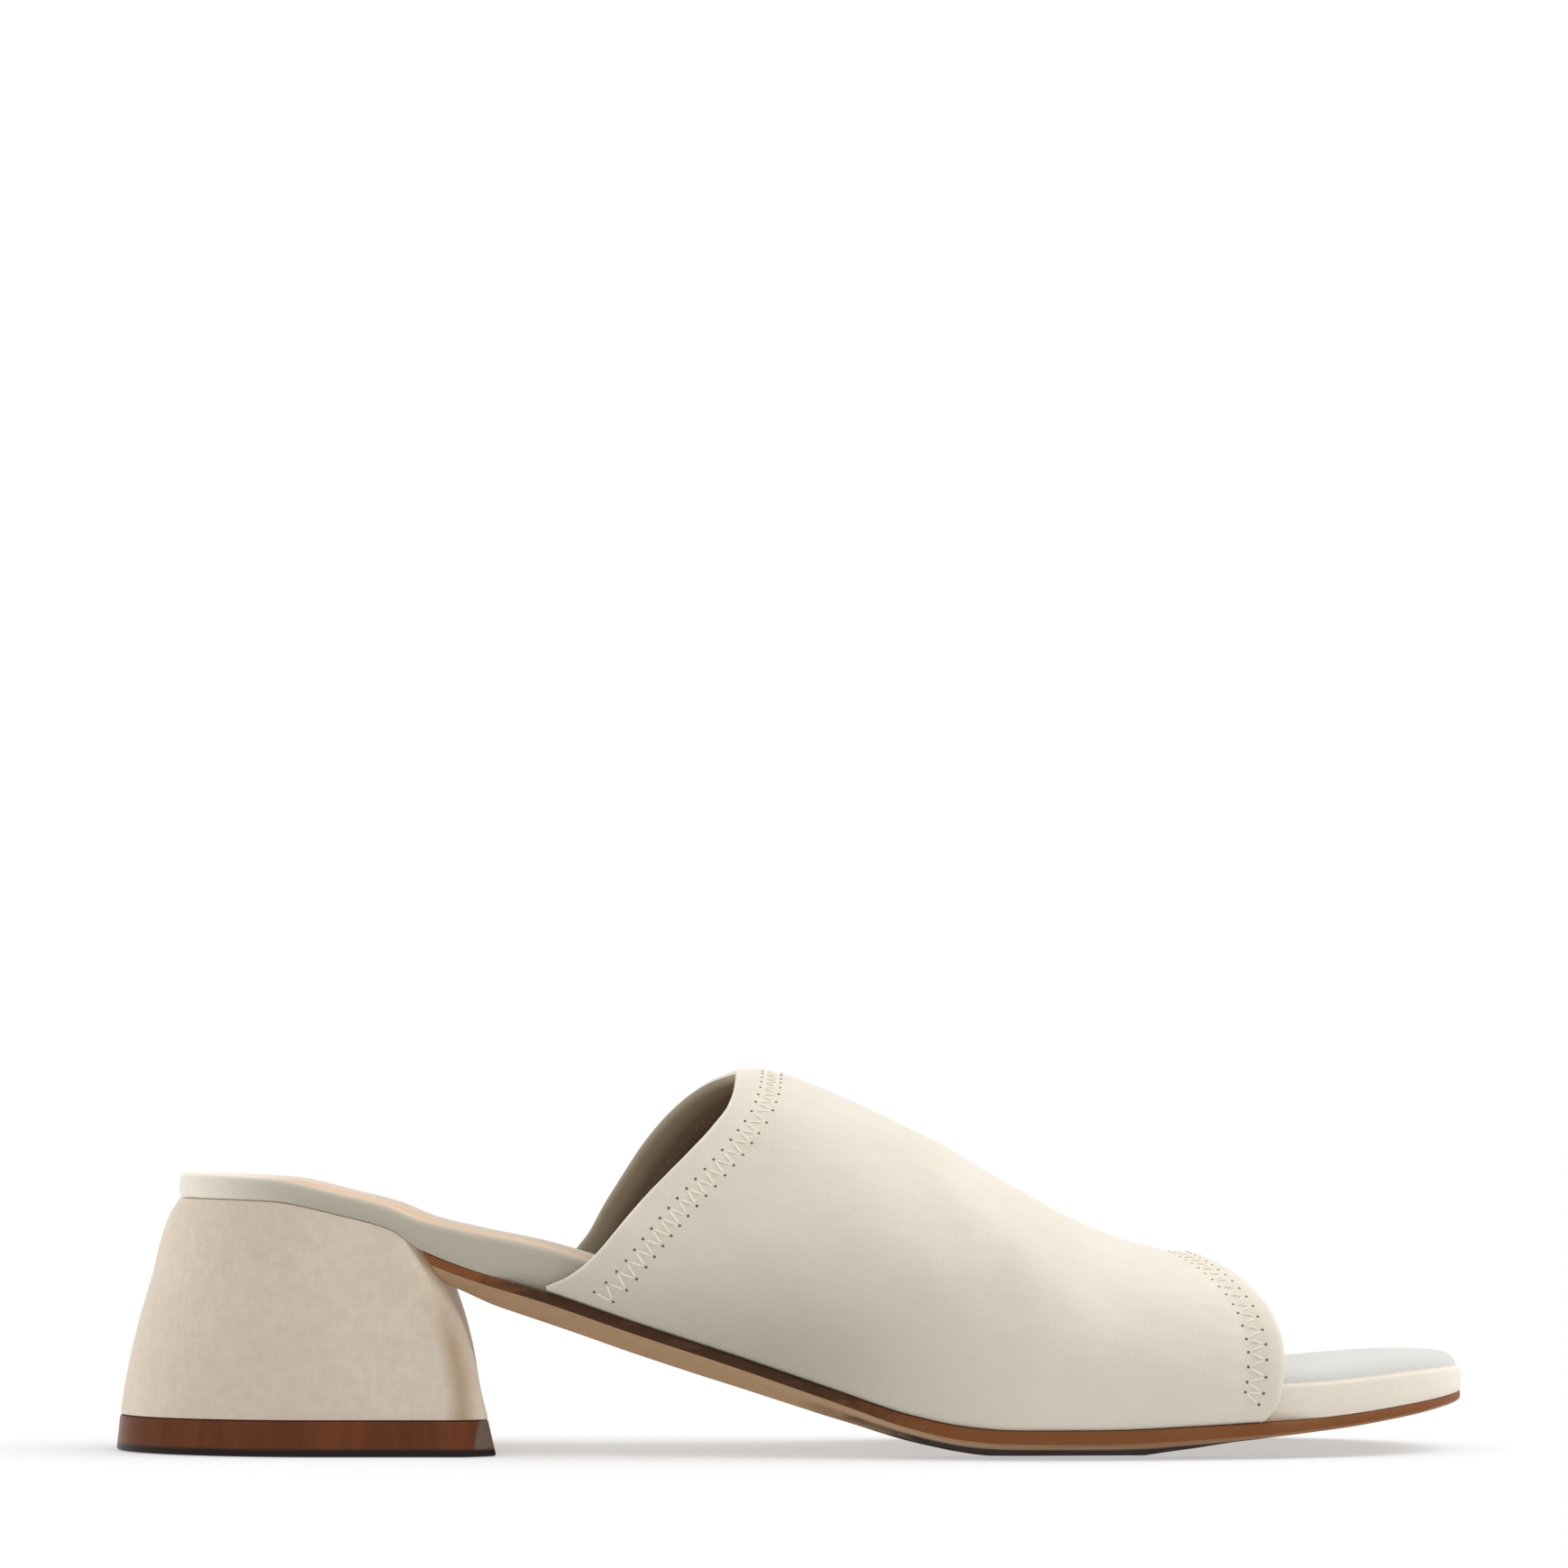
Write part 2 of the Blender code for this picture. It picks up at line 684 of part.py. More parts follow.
nubuck = finish("vamp nubuck", (0.72, 0.66, 0.58), 0.85)
wrap = finish("footbed wrap", (0.68, 0.62, 0.54), 0.85)
sock_leather = finish("sock leather", (0.60, 0.42, 0.26), 0.55)
sole_leather = finish("outsole leather", (0.30, 0.16, 0.08), 0.45)
heel_cover = finish("heel cover", (0.66, 0.58, 0.48), 0.80)
lift_leather = finish("lift leather", (0.12, 0.045, 0.02), 0.30)

pieces = [
    make_outsole(sole_leather),
    make_footbed(wrap),
    make_sock(sock_leather),
    make_heel(heel_cover),
    make_lift(lift_leather),
    make_upper(nubuck),
]
stand_on_origin(pieces)
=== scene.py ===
"""Looks of a block heel mule with an open toe, for the right foot.

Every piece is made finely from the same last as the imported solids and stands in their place.
Units are metres. +X runs to the toe, +Y to the inner side of the foot, +Z up.
"""

import logging
import math
from bisect import bisect_right
from collections.abc import Callable, Sequence
from dataclasses import dataclass, field
from enum import Enum
from typing import NamedTuple

import bmesh
import bpy
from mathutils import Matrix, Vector
from mathutils.bvhtree import BVHTree


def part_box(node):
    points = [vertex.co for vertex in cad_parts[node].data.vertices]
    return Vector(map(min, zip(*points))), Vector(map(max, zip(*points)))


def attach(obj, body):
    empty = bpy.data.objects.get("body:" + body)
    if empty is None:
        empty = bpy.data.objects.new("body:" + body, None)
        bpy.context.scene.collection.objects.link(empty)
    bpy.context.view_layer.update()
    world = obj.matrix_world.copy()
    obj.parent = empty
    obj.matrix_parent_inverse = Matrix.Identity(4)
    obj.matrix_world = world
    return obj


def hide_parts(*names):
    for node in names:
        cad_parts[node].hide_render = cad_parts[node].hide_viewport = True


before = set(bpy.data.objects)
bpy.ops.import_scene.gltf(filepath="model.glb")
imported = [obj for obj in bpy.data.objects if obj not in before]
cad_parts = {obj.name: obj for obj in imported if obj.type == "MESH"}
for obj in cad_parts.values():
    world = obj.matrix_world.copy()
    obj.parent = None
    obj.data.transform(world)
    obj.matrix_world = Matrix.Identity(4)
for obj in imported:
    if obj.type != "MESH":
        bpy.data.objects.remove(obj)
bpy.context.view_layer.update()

log = logging.getLogger("block_heel_mule")

BODY = "root"
MERGE_DISTANCE = 2e-6
SAME_POINT = 1e-6

Colour = tuple[float, float, float]
Span = tuple[float, float]
Pair = tuple[Vector, Vector]
SideFunction = Callable[[float, "Side"], float]
AlongFunction = Callable[[float], float]
Ring = tuple[AlongFunction, AlongFunction]


class Side(Enum):
    """The two sides of the foot, with the sign that they have across the shoe."""

    OUTER = -1
    INNER = 1


class Rim(Enum):
    """The two hemmed edges of the vamp."""

    COLLAR = "collar"
    TOE = "toe"


# The last


class PlanRow(NamedTuple):
    """Half widths of the footbed at a share of its length."""

    station: float
    outer: float
    inner: float


class LineRow(NamedTuple):
    """Shares of the climb to the seat, of the toe spring and of the footbed's depth."""

    station: float
    climb: float
    spring: float
    depth: float


class VampRow(NamedTuple):
    """A section of the vamp: crest and belly shares, the crest's shift, the arch's fullness."""

    station: float
    crest: float
    belly: float
    shift: float
    fullness: float


class EdgeRow(NamedTuple):
    """Place of a hemmed edge, by share of the girth from the sole (0) to the crest (1)."""

    girth: float
    outer: float
    inner: float


class Curve:
    """A smooth function through table rows, without overshoot."""

    def __init__(self, xs: Sequence[float], ys: Sequence[float]) -> None:
        """Work out the slopes at the rows.

        Args:
            xs: Rising places.
            ys: Values at those places.
        """
        self.xs = list(xs)
        self.ys = list(ys)
        self.steps = [b - a for a, b in zip(xs, xs[1:])]
        slopes = [(b - a) / step for a, b, step in zip(ys, ys[1:], self.steps)]
        inner = [
            0.0 if a * b <= 0.0 else 2.0 * a * b / (a + b)
            for a, b in zip(slopes, slopes[1:])
        ]
        self.tangents = [slopes[0], *inner, slopes[-1]]

    def __call__(self, x: float) -> float:
        """Value at a place.

        Args:
            x: The place, held between the first and the last row.

        Returns:
            The smooth value there.
        """
        x = min(max(x, self.xs[0]), self.xs[-1])
        i = min(bisect_right(self.xs, x) - 1, len(self.steps) - 1)
        t = (x - self.xs[i]) / self.steps[i]
        rise = 3 * t**2 - 2 * t**3
        start = t - 2 * t**2 + t**3
        end = t**3 - t**2
        bend = self.steps[i] * (start * self.tangents[i] + end * self.tangents[i + 1])
        return self.ys[i] + rise * (self.ys[i + 1] - self.ys[i]) + bend


def curve_of(rows: Sequence[NamedTuple], key: str, column: str) -> Curve:
    """A curve through one column of a table.

    Args:
        rows: The table.
        key: Name of the column with the places.
        column: Name of the column with the values.

    Returns:
        The curve.
    """
    return Curve([getattr(row, key) for row in rows], [getattr(row, column) for row in rows])


def ease(x: float) -> float:
    """Ease from 0 to 1."""
    x = min(max(x, 0.0), 1.0)
    return x * x * (3.0 - 2.0 * x)


def bell(x: float) -> float:
    """A soft hump of height 1 and about unit half width."""
    return math.exp(-x * x)


def round_end(distance: float, reach: float) -> float:
    """Share of the full width at a distance from a rounded end.

    Args:
        distance: How far from the end.
        reach: Where the full width is reached.

    Returns:
        The share, from 0 to 1.
    """
    if distance >= reach:
        return 1.0
    return math.sqrt(max(0.0, 1.0 - (1.0 - distance / reach) ** 2))


HEEL_WIDTH = 0.0535
WAIST_WIDTH = 0.0460
BALL_WIDTH = 0.0780
TOE_WIDTH = 0.0700

PLAN = (
    PlanRow(0.00, HEEL_WIDTH * 0.490, HEEL_WIDTH * 0.490),
    PlanRow(0.12, HEEL_WIDTH * 0.505, HEEL_WIDTH * 0.495),
    PlanRow(0.22, HEEL_WIDTH * 0.492, HEEL_WIDTH * 0.455),
    PlanRow(0.32, WAIST_WIDTH * 0.550, WAIST_WIDTH * 0.465),
    PlanRow(0.41, WAIST_WIDTH * 0.570, WAIST_WIDTH * 0.430),
    PlanRow(0.50, WAIST_WIDTH * 0.660, WAIST_WIDTH * 0.510),
    PlanRow(0.59, BALL_WIDTH * 0.455, BALL_WIDTH * 0.395),
    PlanRow(0.67, BALL_WIDTH * 0.500, BALL_WIDTH * 0.470),
    PlanRow(0.75, BALL_WIDTH * 0.492, BALL_WIDTH * 0.508),
    PlanRow(0.84, TOE_WIDTH * 0.500, TOE_WIDTH * 0.535),
    PlanRow(1.00, TOE_WIDTH * 0.470, TOE_WIDTH * 0.510),
)

LINE = (
    LineRow(0.000, 1.000, 0.00, 0.53),
    LineRow(0.077, 0.988, 0.00, 0.46),
    LineRow(0.135, 0.923, 0.00, 0.43),
    LineRow(0.170, 0.866, 0.00, 0.45),
    LineRow(0.195, 0.772, 0.00, 0.62),
    LineRow(0.232, 0.690, 0.00, 0.77),
    LineRow(0.288, 0.596, 0.00, 0.90),
    LineRow(0.358, 0.457, 0.00, 0.97),
    LineRow(0.450, 0.284, 0.00, 0.99),
    LineRow(0.513, 0.163, 0.00, 1.00),
    LineRow(0.569, 0.060, 0.00, 1.00),
    LineRow(0.613, 0.012, 0.00, 1.00),
    LineRow(0.646, 0.000, 0.00, 1.00),
    LineRow(0.708, 0.000, 0.00, 1.00),
    LineRow(0.788, 0.000, 0.12, 1.00),
    LineRow(0.879, 0.000, 0.34, 0.95),
    LineRow(0.953, 0.000, 0.71, 0.88),
    LineRow(1.000, 0.000, 1.00, 0.75),
)

VAMP = (
    VampRow(0.250, 0.76, 1.00, 0.05, 2.0),
    VampRow(0.358, 0.90, 1.00, 0.06, 2.0),
    VampRow(0.435, 1.00, 1.00, 0.08, 2.0),
    VampRow(0.475, 1.038, 0.87, 0.09, 2.0),
    VampRow(0.528, 1.019, 0.67, 0.10, 2.05),
    VampRow(0.585, 0.970, 0.47, 0.11, 2.1),
    VampRow(0.641, 0.852, 0.33, 0.12, 2.15),
    VampRow(0.698, 0.708, 0.33, 0.13, 2.2),
    VampRow(0.755, 0.608, 0.33, 0.14, 2.25),
    VampRow(0.797, 0.564, 0.33, 0.15, 2.3),
    VampRow(0.900, 0.480, 0.33, 0.15, 2.3),
)

COLLAR = (
    EdgeRow(0.00, 1.02, 1.02),
    EdgeRow(0.05, 0.905, 0.97),
    EdgeRow(0.12, 0.79, 0.90),
    EdgeRow(0.21, 0.681, 0.81),
    EdgeRow(0.30, 0.565, 0.73),
    EdgeRow(0.375, 0.46, 0.655),
    EdgeRow(0.45, 0.345, 0.58),
    EdgeRow(0.50, 0.268, 0.53),
    EdgeRow(0.60, 0.134, 0.42),
    EdgeRow(0.70, 0.043, 0.30),
    EdgeRow(0.80, 0.010, 0.175),
    EdgeRow(0.90, 0.002, 0.055),
    EdgeRow(1.00, 0.00, 0.00),
)

TOE_EDGE = (
    EdgeRow(0.00, 0.69, 0.85),
    EdgeRow(0.11, 0.92, 1.05),
    EdgeRow(0.30, 1.00, 1.10),
    EdgeRow(0.50, 0.87, 0.95),
    EdgeRow(0.65, 0.62, 0.70),
    EdgeRow(0.82, 0.26, 0.30),
    EdgeRow(0.93, 0.055, 0.065),
    EdgeRow(1.00, 0.00, 0.00),
)


@dataclass
class Last:
    """The last: the footbed's plan, the heights under and over it, and the vamp's skin."""

    length: float = 0.2400
    seat_height: float = 0.0470
    ball_height: float = 0.0054
    toe_spring: float = 0.0056
    instep_rise: float = 0.0525
    heel_round: float = 0.0270
    toe_round: float = 0.0400
    toe_swing: float = 0.0030
    swing_station: float = 0.4
    footbed_thickness: float = 0.0086
    wall: float = 0.0018
    gap: float = 0.0003
    hairline: float = 0.00004
    vamp_belly: float = 0.0030
    belly_height_share: float = 0.25
    belly_girth_share: float = 0.20
    throat_station: float = 0.4354
    quarter_drop: float = 0.0351
    toe_edge_station: float = 0.8020
    toe_edge_advance: float = 0.0116
    shift: Vector = field(init=False)

    def __post_init__(self) -> None:
        """Make the curves, and find the frame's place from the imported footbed."""
        self.half = {
            Side.OUTER: curve_of(PLAN, "station", "outer"),
            Side.INNER: curve_of(PLAN, "station", "inner"),
        }
        self.climb = curve_of(LINE, "station", "climb")
        self.spring = curve_of(LINE, "station", "spring")
        self.depth = curve_of(LINE, "station", "depth")
        self.crest = curve_of(VAMP, "station", "crest")
        self.belly = curve_of(VAMP, "station", "belly")
        self.crest_shift = curve_of(VAMP, "station", "shift")
        self.fullness = curve_of(VAMP, "station", "fullness")
        self.setback = {
            Side.OUTER: curve_of(COLLAR, "girth", "outer"),
            Side.INNER: curve_of(COLLAR, "girth", "inner"),
        }
        self.advance = {
            Side.OUTER: curve_of(TOE_EDGE, "girth", "outer"),
            Side.INNER: curve_of(TOE_EDGE, "girth", "inner"),
        }
        low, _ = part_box("footbed")
        samples = 600
        outer_edge = min(
            self.swing(s) - self.half_width(s, Side.OUTER)
            for s in (self.length * i / samples for i in range(samples + 1))
        )
        self.shift = Vector((low.x, low.y - outer_edge, 0.0))

    def swing(self, s: float) -> float:
        """How far the axis has swung inwards at a distance from the back."""
        share = (s / self.length - self.swing_station) / (1.0 - self.swing_station)
        return self.toe_swing * ease(share)

    def half_width(self, s: float, side: Side) -> float:
        """Half width of the footbed on one side at a distance from the back."""
        ends = round_end(s, self.heel_round) * round_end(self.length - s, self.toe_round)
        return self.half[side](s / self.length) * ends

    def line(self, s: float) -> float:
        """Height of the line between the footbed and what carries it.

        Args:
            s: Distance from the back.

        Returns:
            The height over the floor.
        """
        station = s / self.length
        climb = (self.seat_height - self.ball_height) * self.climb(station)
        return self.ball_height + climb + self.toe_spring * self.spring(station)

    def footbed_under(self, s: float) -> float:
        """Height of the footbed's underside."""
        return self.line(s) + self.gap / 2

    def sole_top(self, s: float) -> float:
        """Height of the faces that carry the footbed."""
        return self.line(s) - self.gap / 2

    def footbed_top(self, s: float) -> float:
        """Height of the footbed's crown."""
        return self.footbed_under(s) + self.footbed_thickness * self.depth(s / self.length)

    def rim_station(self, rim: Rim, turn: float) -> float:
        """Distance from the back at which a hemmed edge lies.

        Args:
            rim: Which edge.
            turn: Place round the girth, from -1 at the outer sole to 1 at the inner sole.

        Returns:
            The distance in metres.
        """
        side = Side.OUTER if turn < 0.0 else Side.INNER
        girth = 1.0 - abs(turn)
        if rim is Rim.COLLAR:
            return self.throat_station * self.length - self.quarter_drop * self.setback[side](girth)
        advance = self.toe_edge_advance * self.advance[side](girth)
        return self.toe_edge_station * self.length + advance

    def vamp(self, s: float, turn: float) -> Vector:
        """A point of the vamp's bare outer face.

        Args:
            s: Distance from the back.
            turn: Place round the girth, from -1 at the outer sole to 1 at the inner sole.

        Returns:
            The point, in the part's frame.
        """
        side = Side.OUTER if turn < 0.0 else Side.INNER
        girth = 1.0 - abs(turn)
        station = s / self.length
        belly = self.vamp_belly * self.belly(station)
        bottom = self.footbed_under(s)
        crest = self.instep_rise * self.crest(station)
        belly_height = self.belly_height_share * crest
        wide = self.half_width(s, side) + self.gap + self.wall + belly
        if girth < self.belly_girth_share:
            climb = girth / self.belly_girth_share
            y = side.value * (wide - belly * (1.0 - climb) ** 2)
            rest = self.sole_top(s) + self.hairline
            z = rest + (bottom + belly_height - rest) * climb
        else:
            climb = (girth - self.belly_girth_share) / (1.0 - self.belly_girth_share)
            angle = 0.5 * math.pi * climb
            power = 2.0 / self.fullness(station)
            outer = self.half_width(s, Side.OUTER) + self.gap + self.wall + belly
            crest_y = self.crest_shift(station) * outer
            y = crest_y + (side.value * wide - crest_y) * max(math.cos(angle), 0.0) ** power
            z = bottom + belly_height + (crest - belly_height) * math.sin(angle) ** power
        return Vector((s, y + self.swing(s), z)) + self.shift

    def cover(self, s: float, side: Side, ramp: float) -> float:
        """1 where the upper stands on the outsole, easing to 0 beyond its two edges.

        Args:
            s: Distance from the back.
            side: Which side of the foot.
            ramp: Length of the easing.

        Returns:
            The share.
        """
        foot = -1.0 if side is Side.OUTER else 1.0
        behind = ease((s - self.rim_station(Rim.COLLAR, foot)) / ramp + 1.0)
        ahead = ease((self.rim_station(Rim.TOE, foot) - s) / ramp + 1.0)
        return behind * ahead

    def angles(self, start: float, end: float, count: int) -> list[float]:
        """Even plan angles from one distance to another.

        Args:
            start: First distance from the back.
            end: Last distance from the back.
            count: Number of steps.

        Returns:
            Angles from 0 at the back to pi at the toe.
        """
        first = math.acos(1.0 - 2.0 * start / self.length)
        last = math.acos(1.0 - 2.0 * end / self.length)
        return [first + (last - first) * i / count for i in range(count + 1)]

    def distance(self, angle: float) -> float:
        """Distance from the back at a plan angle."""
        return self.length * (1.0 - math.cos(angle)) / 2

    def edge_point(self, angle: float, side: Side, outset: float) -> tuple[float, float]:
        """A point of the footbed's edge moved out along the edge's normal.

        Args:
            angle: Plan angle.
            side: Which side of the foot.
            outset: How far out.

        Returns:
            Distance from the back and place across, before the frame's shift.
        """
        tiny = 1e-4
        s = self.distance(angle)
        middle = Vector((s, side.value * self.half_width(s, side)))
        if tiny < angle < math.pi - tiny:
            near = []
            for turn in (angle - tiny, angle + tiny):
                d = self.distance(turn)
                near.append(Vector((d, side.value * self.half_width(d, side))))
            along = (near[1] - near[0]).normalized()
            normal = Vector((along.y, -along.x)) * -side.value
        else:
            normal = Vector((-1.0 if angle <= tiny else 1.0, 0.0))
        moved = middle + normal * outset
        return moved.x, moved.y + self.swing(s)

    def layer(
        self, angles: Sequence[float], outset: SideFunction, height: AlongFunction
    ) -> list[Pair]:
        """One closed layer of a flat piece.

        Args:
            angles: Plan angles.
            outset: How far outside the footbed's edge, by distance and side.
            height: Height over the floor, by distance.

        Returns:
            Pairs of points on the two sides, in the part's frame.
        """
        pairs = []
        for angle in angles:
            s = self.distance(angle)
            points = []
            for side in Side:
                x, y = self.edge_point(angle, side, outset(s, side))
                points.append(Vector((x, y, height(s))) + self.shift)
            pairs.append((points[0], points[1]))
        return pairs

    def stack(self, angles: Sequence[float], rings: Sequence[Ring]) -> list[list[Pair]]:
        """Closed layers that lie inside the footbed's edge.

        Args:
            angles: Plan angles.
            rings: An inset and a height for each layer, both by distance.

        Returns:
            The layers, from the first ring to the last.
        """
        return [
            self.layer(angles, lambda s, side, inset=inset: -inset(s), height)
            for inset, height in rings
        ]


# Meshes


def link(name: str, data: bpy.types.ID) -> bpy.types.Object:
    """Put a mesh, light or camera in the scene as a named object at the origin.

    Args:
        name: Name of the object.
        data: What it shows.

    Returns:
        The object.
    """
    item = bpy.data.objects.new(name, data)
    bpy.context.scene.collection.objects.link(item)
    return item


def dress(
    item: bpy.types.Object, materials: Sequence[bpy.types.Material], slot: str, *nodes: str
) -> None:
    """Give a piece its materials and its body, and hide the CAD nodes that it stands for.

    Args:
        item: The piece.
        materials: Its materials, in slot order.
        slot: Not used.
        nodes: CAD nodes that the piece stands for.
    """
    for material in materials:
        if material.name not in item.data.materials:
            item.data.materials.append(material)
    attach(item, BODY)
    if nodes:
        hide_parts(*nodes)
    log.info("%s: %d faces", item.name, len(item.data.polygons))


def finish_mesh(
    name: str, mesh: bmesh.types.BMesh, data: bpy.types.Mesh, sharp_angle: float
) -> bpy.types.Object:
    """Merge doubles, turn the faces outwards and shade them smooth.

    Args:
        name: Name of the piece.
        mesh: The mesh, which is freed.
        data: Where the mesh is kept.
        sharp_angle: Angle in degrees from which an edge is shaded sharp.

    Returns:
        The object.
    """
    bmesh.ops.remove_doubles(mesh, verts=mesh.verts, dist=MERGE_DISTANCE)
    bmesh.ops.recalc_face_normals(mesh, faces=mesh.faces)
    mesh.to_mesh(data)
    mesh.free()
    data.shade_smooth()
    data.set_sharp_from_angle(angle=math.radians(sharp_angle))
    return link(name, data)


@dataclass
class LayeredSolid:
    """A closed solid from layers of point pairs, with caps of rungs cut across."""

    name: str
    layers: list[list[Pair]]
    across: int
    tones: list[float] | None = None
    sharp_angle: float = 40.0

    def build(self) -> bpy.types.Object:
        """Make the mesh.

        Returns:
            The object, with the float attribute tone where the layers have one.
        """
        self.mesh = bmesh.new()
        self.tone = self.mesh.verts.layers.float.new("tone") if self.tones else None
        rows = []
        for index, layer in enumerate(self.layers):
            row = []
            for outer, inner in layer:
                one = self.vert(outer, index)
                joined = (outer - inner).length < SAME_POINT
                row.append((one, one if joined else self.vert(inner, index)))
            rows.append(row)
        for low, high in zip(rows, rows[1:]):
            for i in range(len(low) - 1):
                self.face(low[i][0], low[i + 1][0], high[i + 1][0], high[i][0])
                self.face(low[i + 1][1], low[i][1], high[i][1], high[i + 1][1])
        self.fill([self.rung(pair, 0) for pair in rows[0]])
        self.fill([self.rung(pair, len(rows) - 1) for pair in rows[-1]])
        for end in (0, -1):
            if any(row[end][0] is not row[end][1] for row in (rows[0], rows[-1])):
                self.fill([self.rung(row[end], 0) for row in rows])
        return finish_mesh(self.name, self.mesh, bpy.data.meshes.new(self.name), self.sharp_angle)

    def vert(self, point: Vector, index: int) -> bmesh.types.BMVert:
        """Add a point of a layer.

        Args:
            point: Its place.
            index: The layer whose tone it takes.

        Returns:
            The vertex.
        """
        made = self.mesh.verts.new(point)
        if self.tone:
            made[self.tone] = self.tones[index]
        return made

    def face(self, *verts: bmesh.types.BMVert) -> None:
        """Add a face, without repeated corners.

        Args:
            verts: Its corners in order.
        """
        kept = list(dict.fromkeys(verts))
        if len(kept) > 2:
            self.mesh.faces.new(kept)

    def rung(self, pair: tuple, index: int) -> list[bmesh.types.BMVert]:
        """Points from one side of a layer to the other.

        Args:
            pair: The vertices on the two sides.
            index: The layer whose tone the new points take.

        Returns:
            All the points in order, the same one throughout where the sides meet.
        """
        one, other = pair
        if one is other:
            return [one] * (self.across + 1)
        shares = [k / self.across for k in range(1, self.across)]
        between = [self.vert(one.co.lerp(other.co, share), index) for share in shares]
        return [one, *between, other]

    def fill(self, rungs: list[list[bmesh.types.BMVert]]) -> None:
        """Close a cap between rungs.

        Args:
            rungs: Points from side to side, rung by rung.
        """
        for near, far in zip(rungs, rungs[1:]):
            for k in range(self.across):
                self.face(near[k], far[k], far[k + 1], near[k + 1])


class FaceGrid:
    """Collects points and faces of a curved sheet."""

    def __init__(self) -> None:
        """Start empty."""
        self.points: list[Vector] = []
        self.faces: list[tuple[int, ...]] = []
        self.slots: list[int] = []
        self.tones: list[float] = []

    def line(self, points: Sequence[Vector], tones: Sequence[float]) -> list[int]:
        """Add a line of points.

        Args:
            points: The points.
            tones: The value of the attribute tone at each.

        Returns:
            Their indices.
        """
        start = len(self.points)
        self.points.extend(points)
        self.tones.extend(tones)
        return list(range(start, len(self.points)))

    def strip(self, near: Sequence[int], far: Sequence[int]) -> None:
        """Join two lines of points with quads of the first material.

        Args:
            near: Indices of one line.
            far: Indices of the next line.
        """
        for i in range(len(near) - 1):
            self.faces.append((near[i], near[i + 1], far[i + 1], far[i]))
            self.slots.append(0)

    def build(self, name: str, sharp_angle: float) -> bpy.types.Object:
        """Make the object, with its faces turned outwards.

        Args:
            name: Name of the piece.
            sharp_angle: Angle in degrees from which an edge is shaded sharp.

        Returns:
            The object.
        """
        data = bpy.data.meshes.new(name)
        data.from_pydata([tuple(point) for point in self.points], [], self.faces)
        for polygon, slot in zip(data.polygons, self.slots):
            polygon.material_index = slot
        tone = data.attributes.new("tone", "FLOAT", "POINT")
        tone.data.foreach_set("value", self.tones)
        mesh = bmesh.new()
        mesh.from_mesh(data)
        return finish_mesh(name, mesh, data, sharp_angle)


# Node trees


class NodeBuilder:
    """Adds nodes to a tree and feeds their sockets."""

    tree: bpy.types.NodeTree

    def node(
        self, kind: str, settings: dict | None = None, inputs: dict | None = None
    ) -> bpy.types.Node:
        """Add any node.

        Args:
            kind: The node's type.
            settings: Its properties, set first.
            inputs: Values, signals or sockets by input name or number.

        Returns:
            The node.
        """
        made = self.tree.nodes.new(kind)
        for key, value in (settings or {}).items():
            setattr(made, key, value)
        for key, value in (inputs or {}).items():
            self.feed(made.inputs[key], value)
        return made

    def feed(self, socket: bpy.types.NodeSocket, value: object) -> None:
        """Link a signal or socket to an input, or set its value.

        Args:
            socket: The input.
            value: A signal, a socket, a colour or a plain value.
        """
        if isinstance(value, Signal):
            self.tree.links.new(value.socket, socket)
        elif isinstance(value, bpy.types.NodeSocket):
            self.tree.links.new(value, socket)
        elif socket.type == "RGBA":
            socket.default_value = (*value, 1.0)
        else:
            socket.default_value = value


class Signal:
    """Wraps a number socket, so that Python sums become Math nodes."""

    def __init__(self, shader: NodeBuilder, socket: bpy.types.NodeSocket) -> None:
        """Keep the shader and the socket."""
        self.shader = shader
        self.socket = socket

    def math(self, operation: str, *values: "Signal | float") -> "Signal":
        """A Math node.

        Args:
            operation: What the node does.
            values: Its two values, or the second alone where this signal is the first.

        Returns:
            The result.
        """
        if len(values) == 1:
            values = (self, *values)
        inputs = dict(enumerate(values))
        node = self.shader.node("ShaderNodeMath", {"operation": operation}, inputs)
        return Signal(self.shader, node.outputs[0])

    def __add__(self, other: "Signal | float") -> "Signal":
        """Sum."""
        return self.math("ADD", self, other)

    def __radd__(self, other: float) -> "Signal":
        """Sum, with the number first."""
        return self.math("ADD", other, self)

    def __sub__(self, other: "Signal | float") -> "Signal":
        """Difference."""
        return self.math("SUBTRACT", self, other)

    def __rsub__(self, other: float) -> "Signal":
        """Difference, with the number first."""
        return self.math("SUBTRACT", other, self)

    def __mul__(self, other: "Signal | float") -> "Signal":
        """Product."""
        return self.math("MULTIPLY", self, other)

    def __rmul__(self, other: float) -> "Signal":
        """Product, with the number first."""
        return self.math("MULTIPLY", other, self)

    def ramp(self, low: float, high: float) -> "Signal":
        """Rise smoothly from 0 to 1.

        Args:
            low: Where the rise starts.
            high: Where it ends, below the start for a fall.

        Returns:
            The share.
        """
        node = self.shader.node(
            "ShaderNodeMapRange",
            {"interpolation_type": "SMOOTHSTEP"},
            {"Value": self, "From Min": low, "From Max": high},
        )
        return Signal(self.shader, node.outputs["Result"])


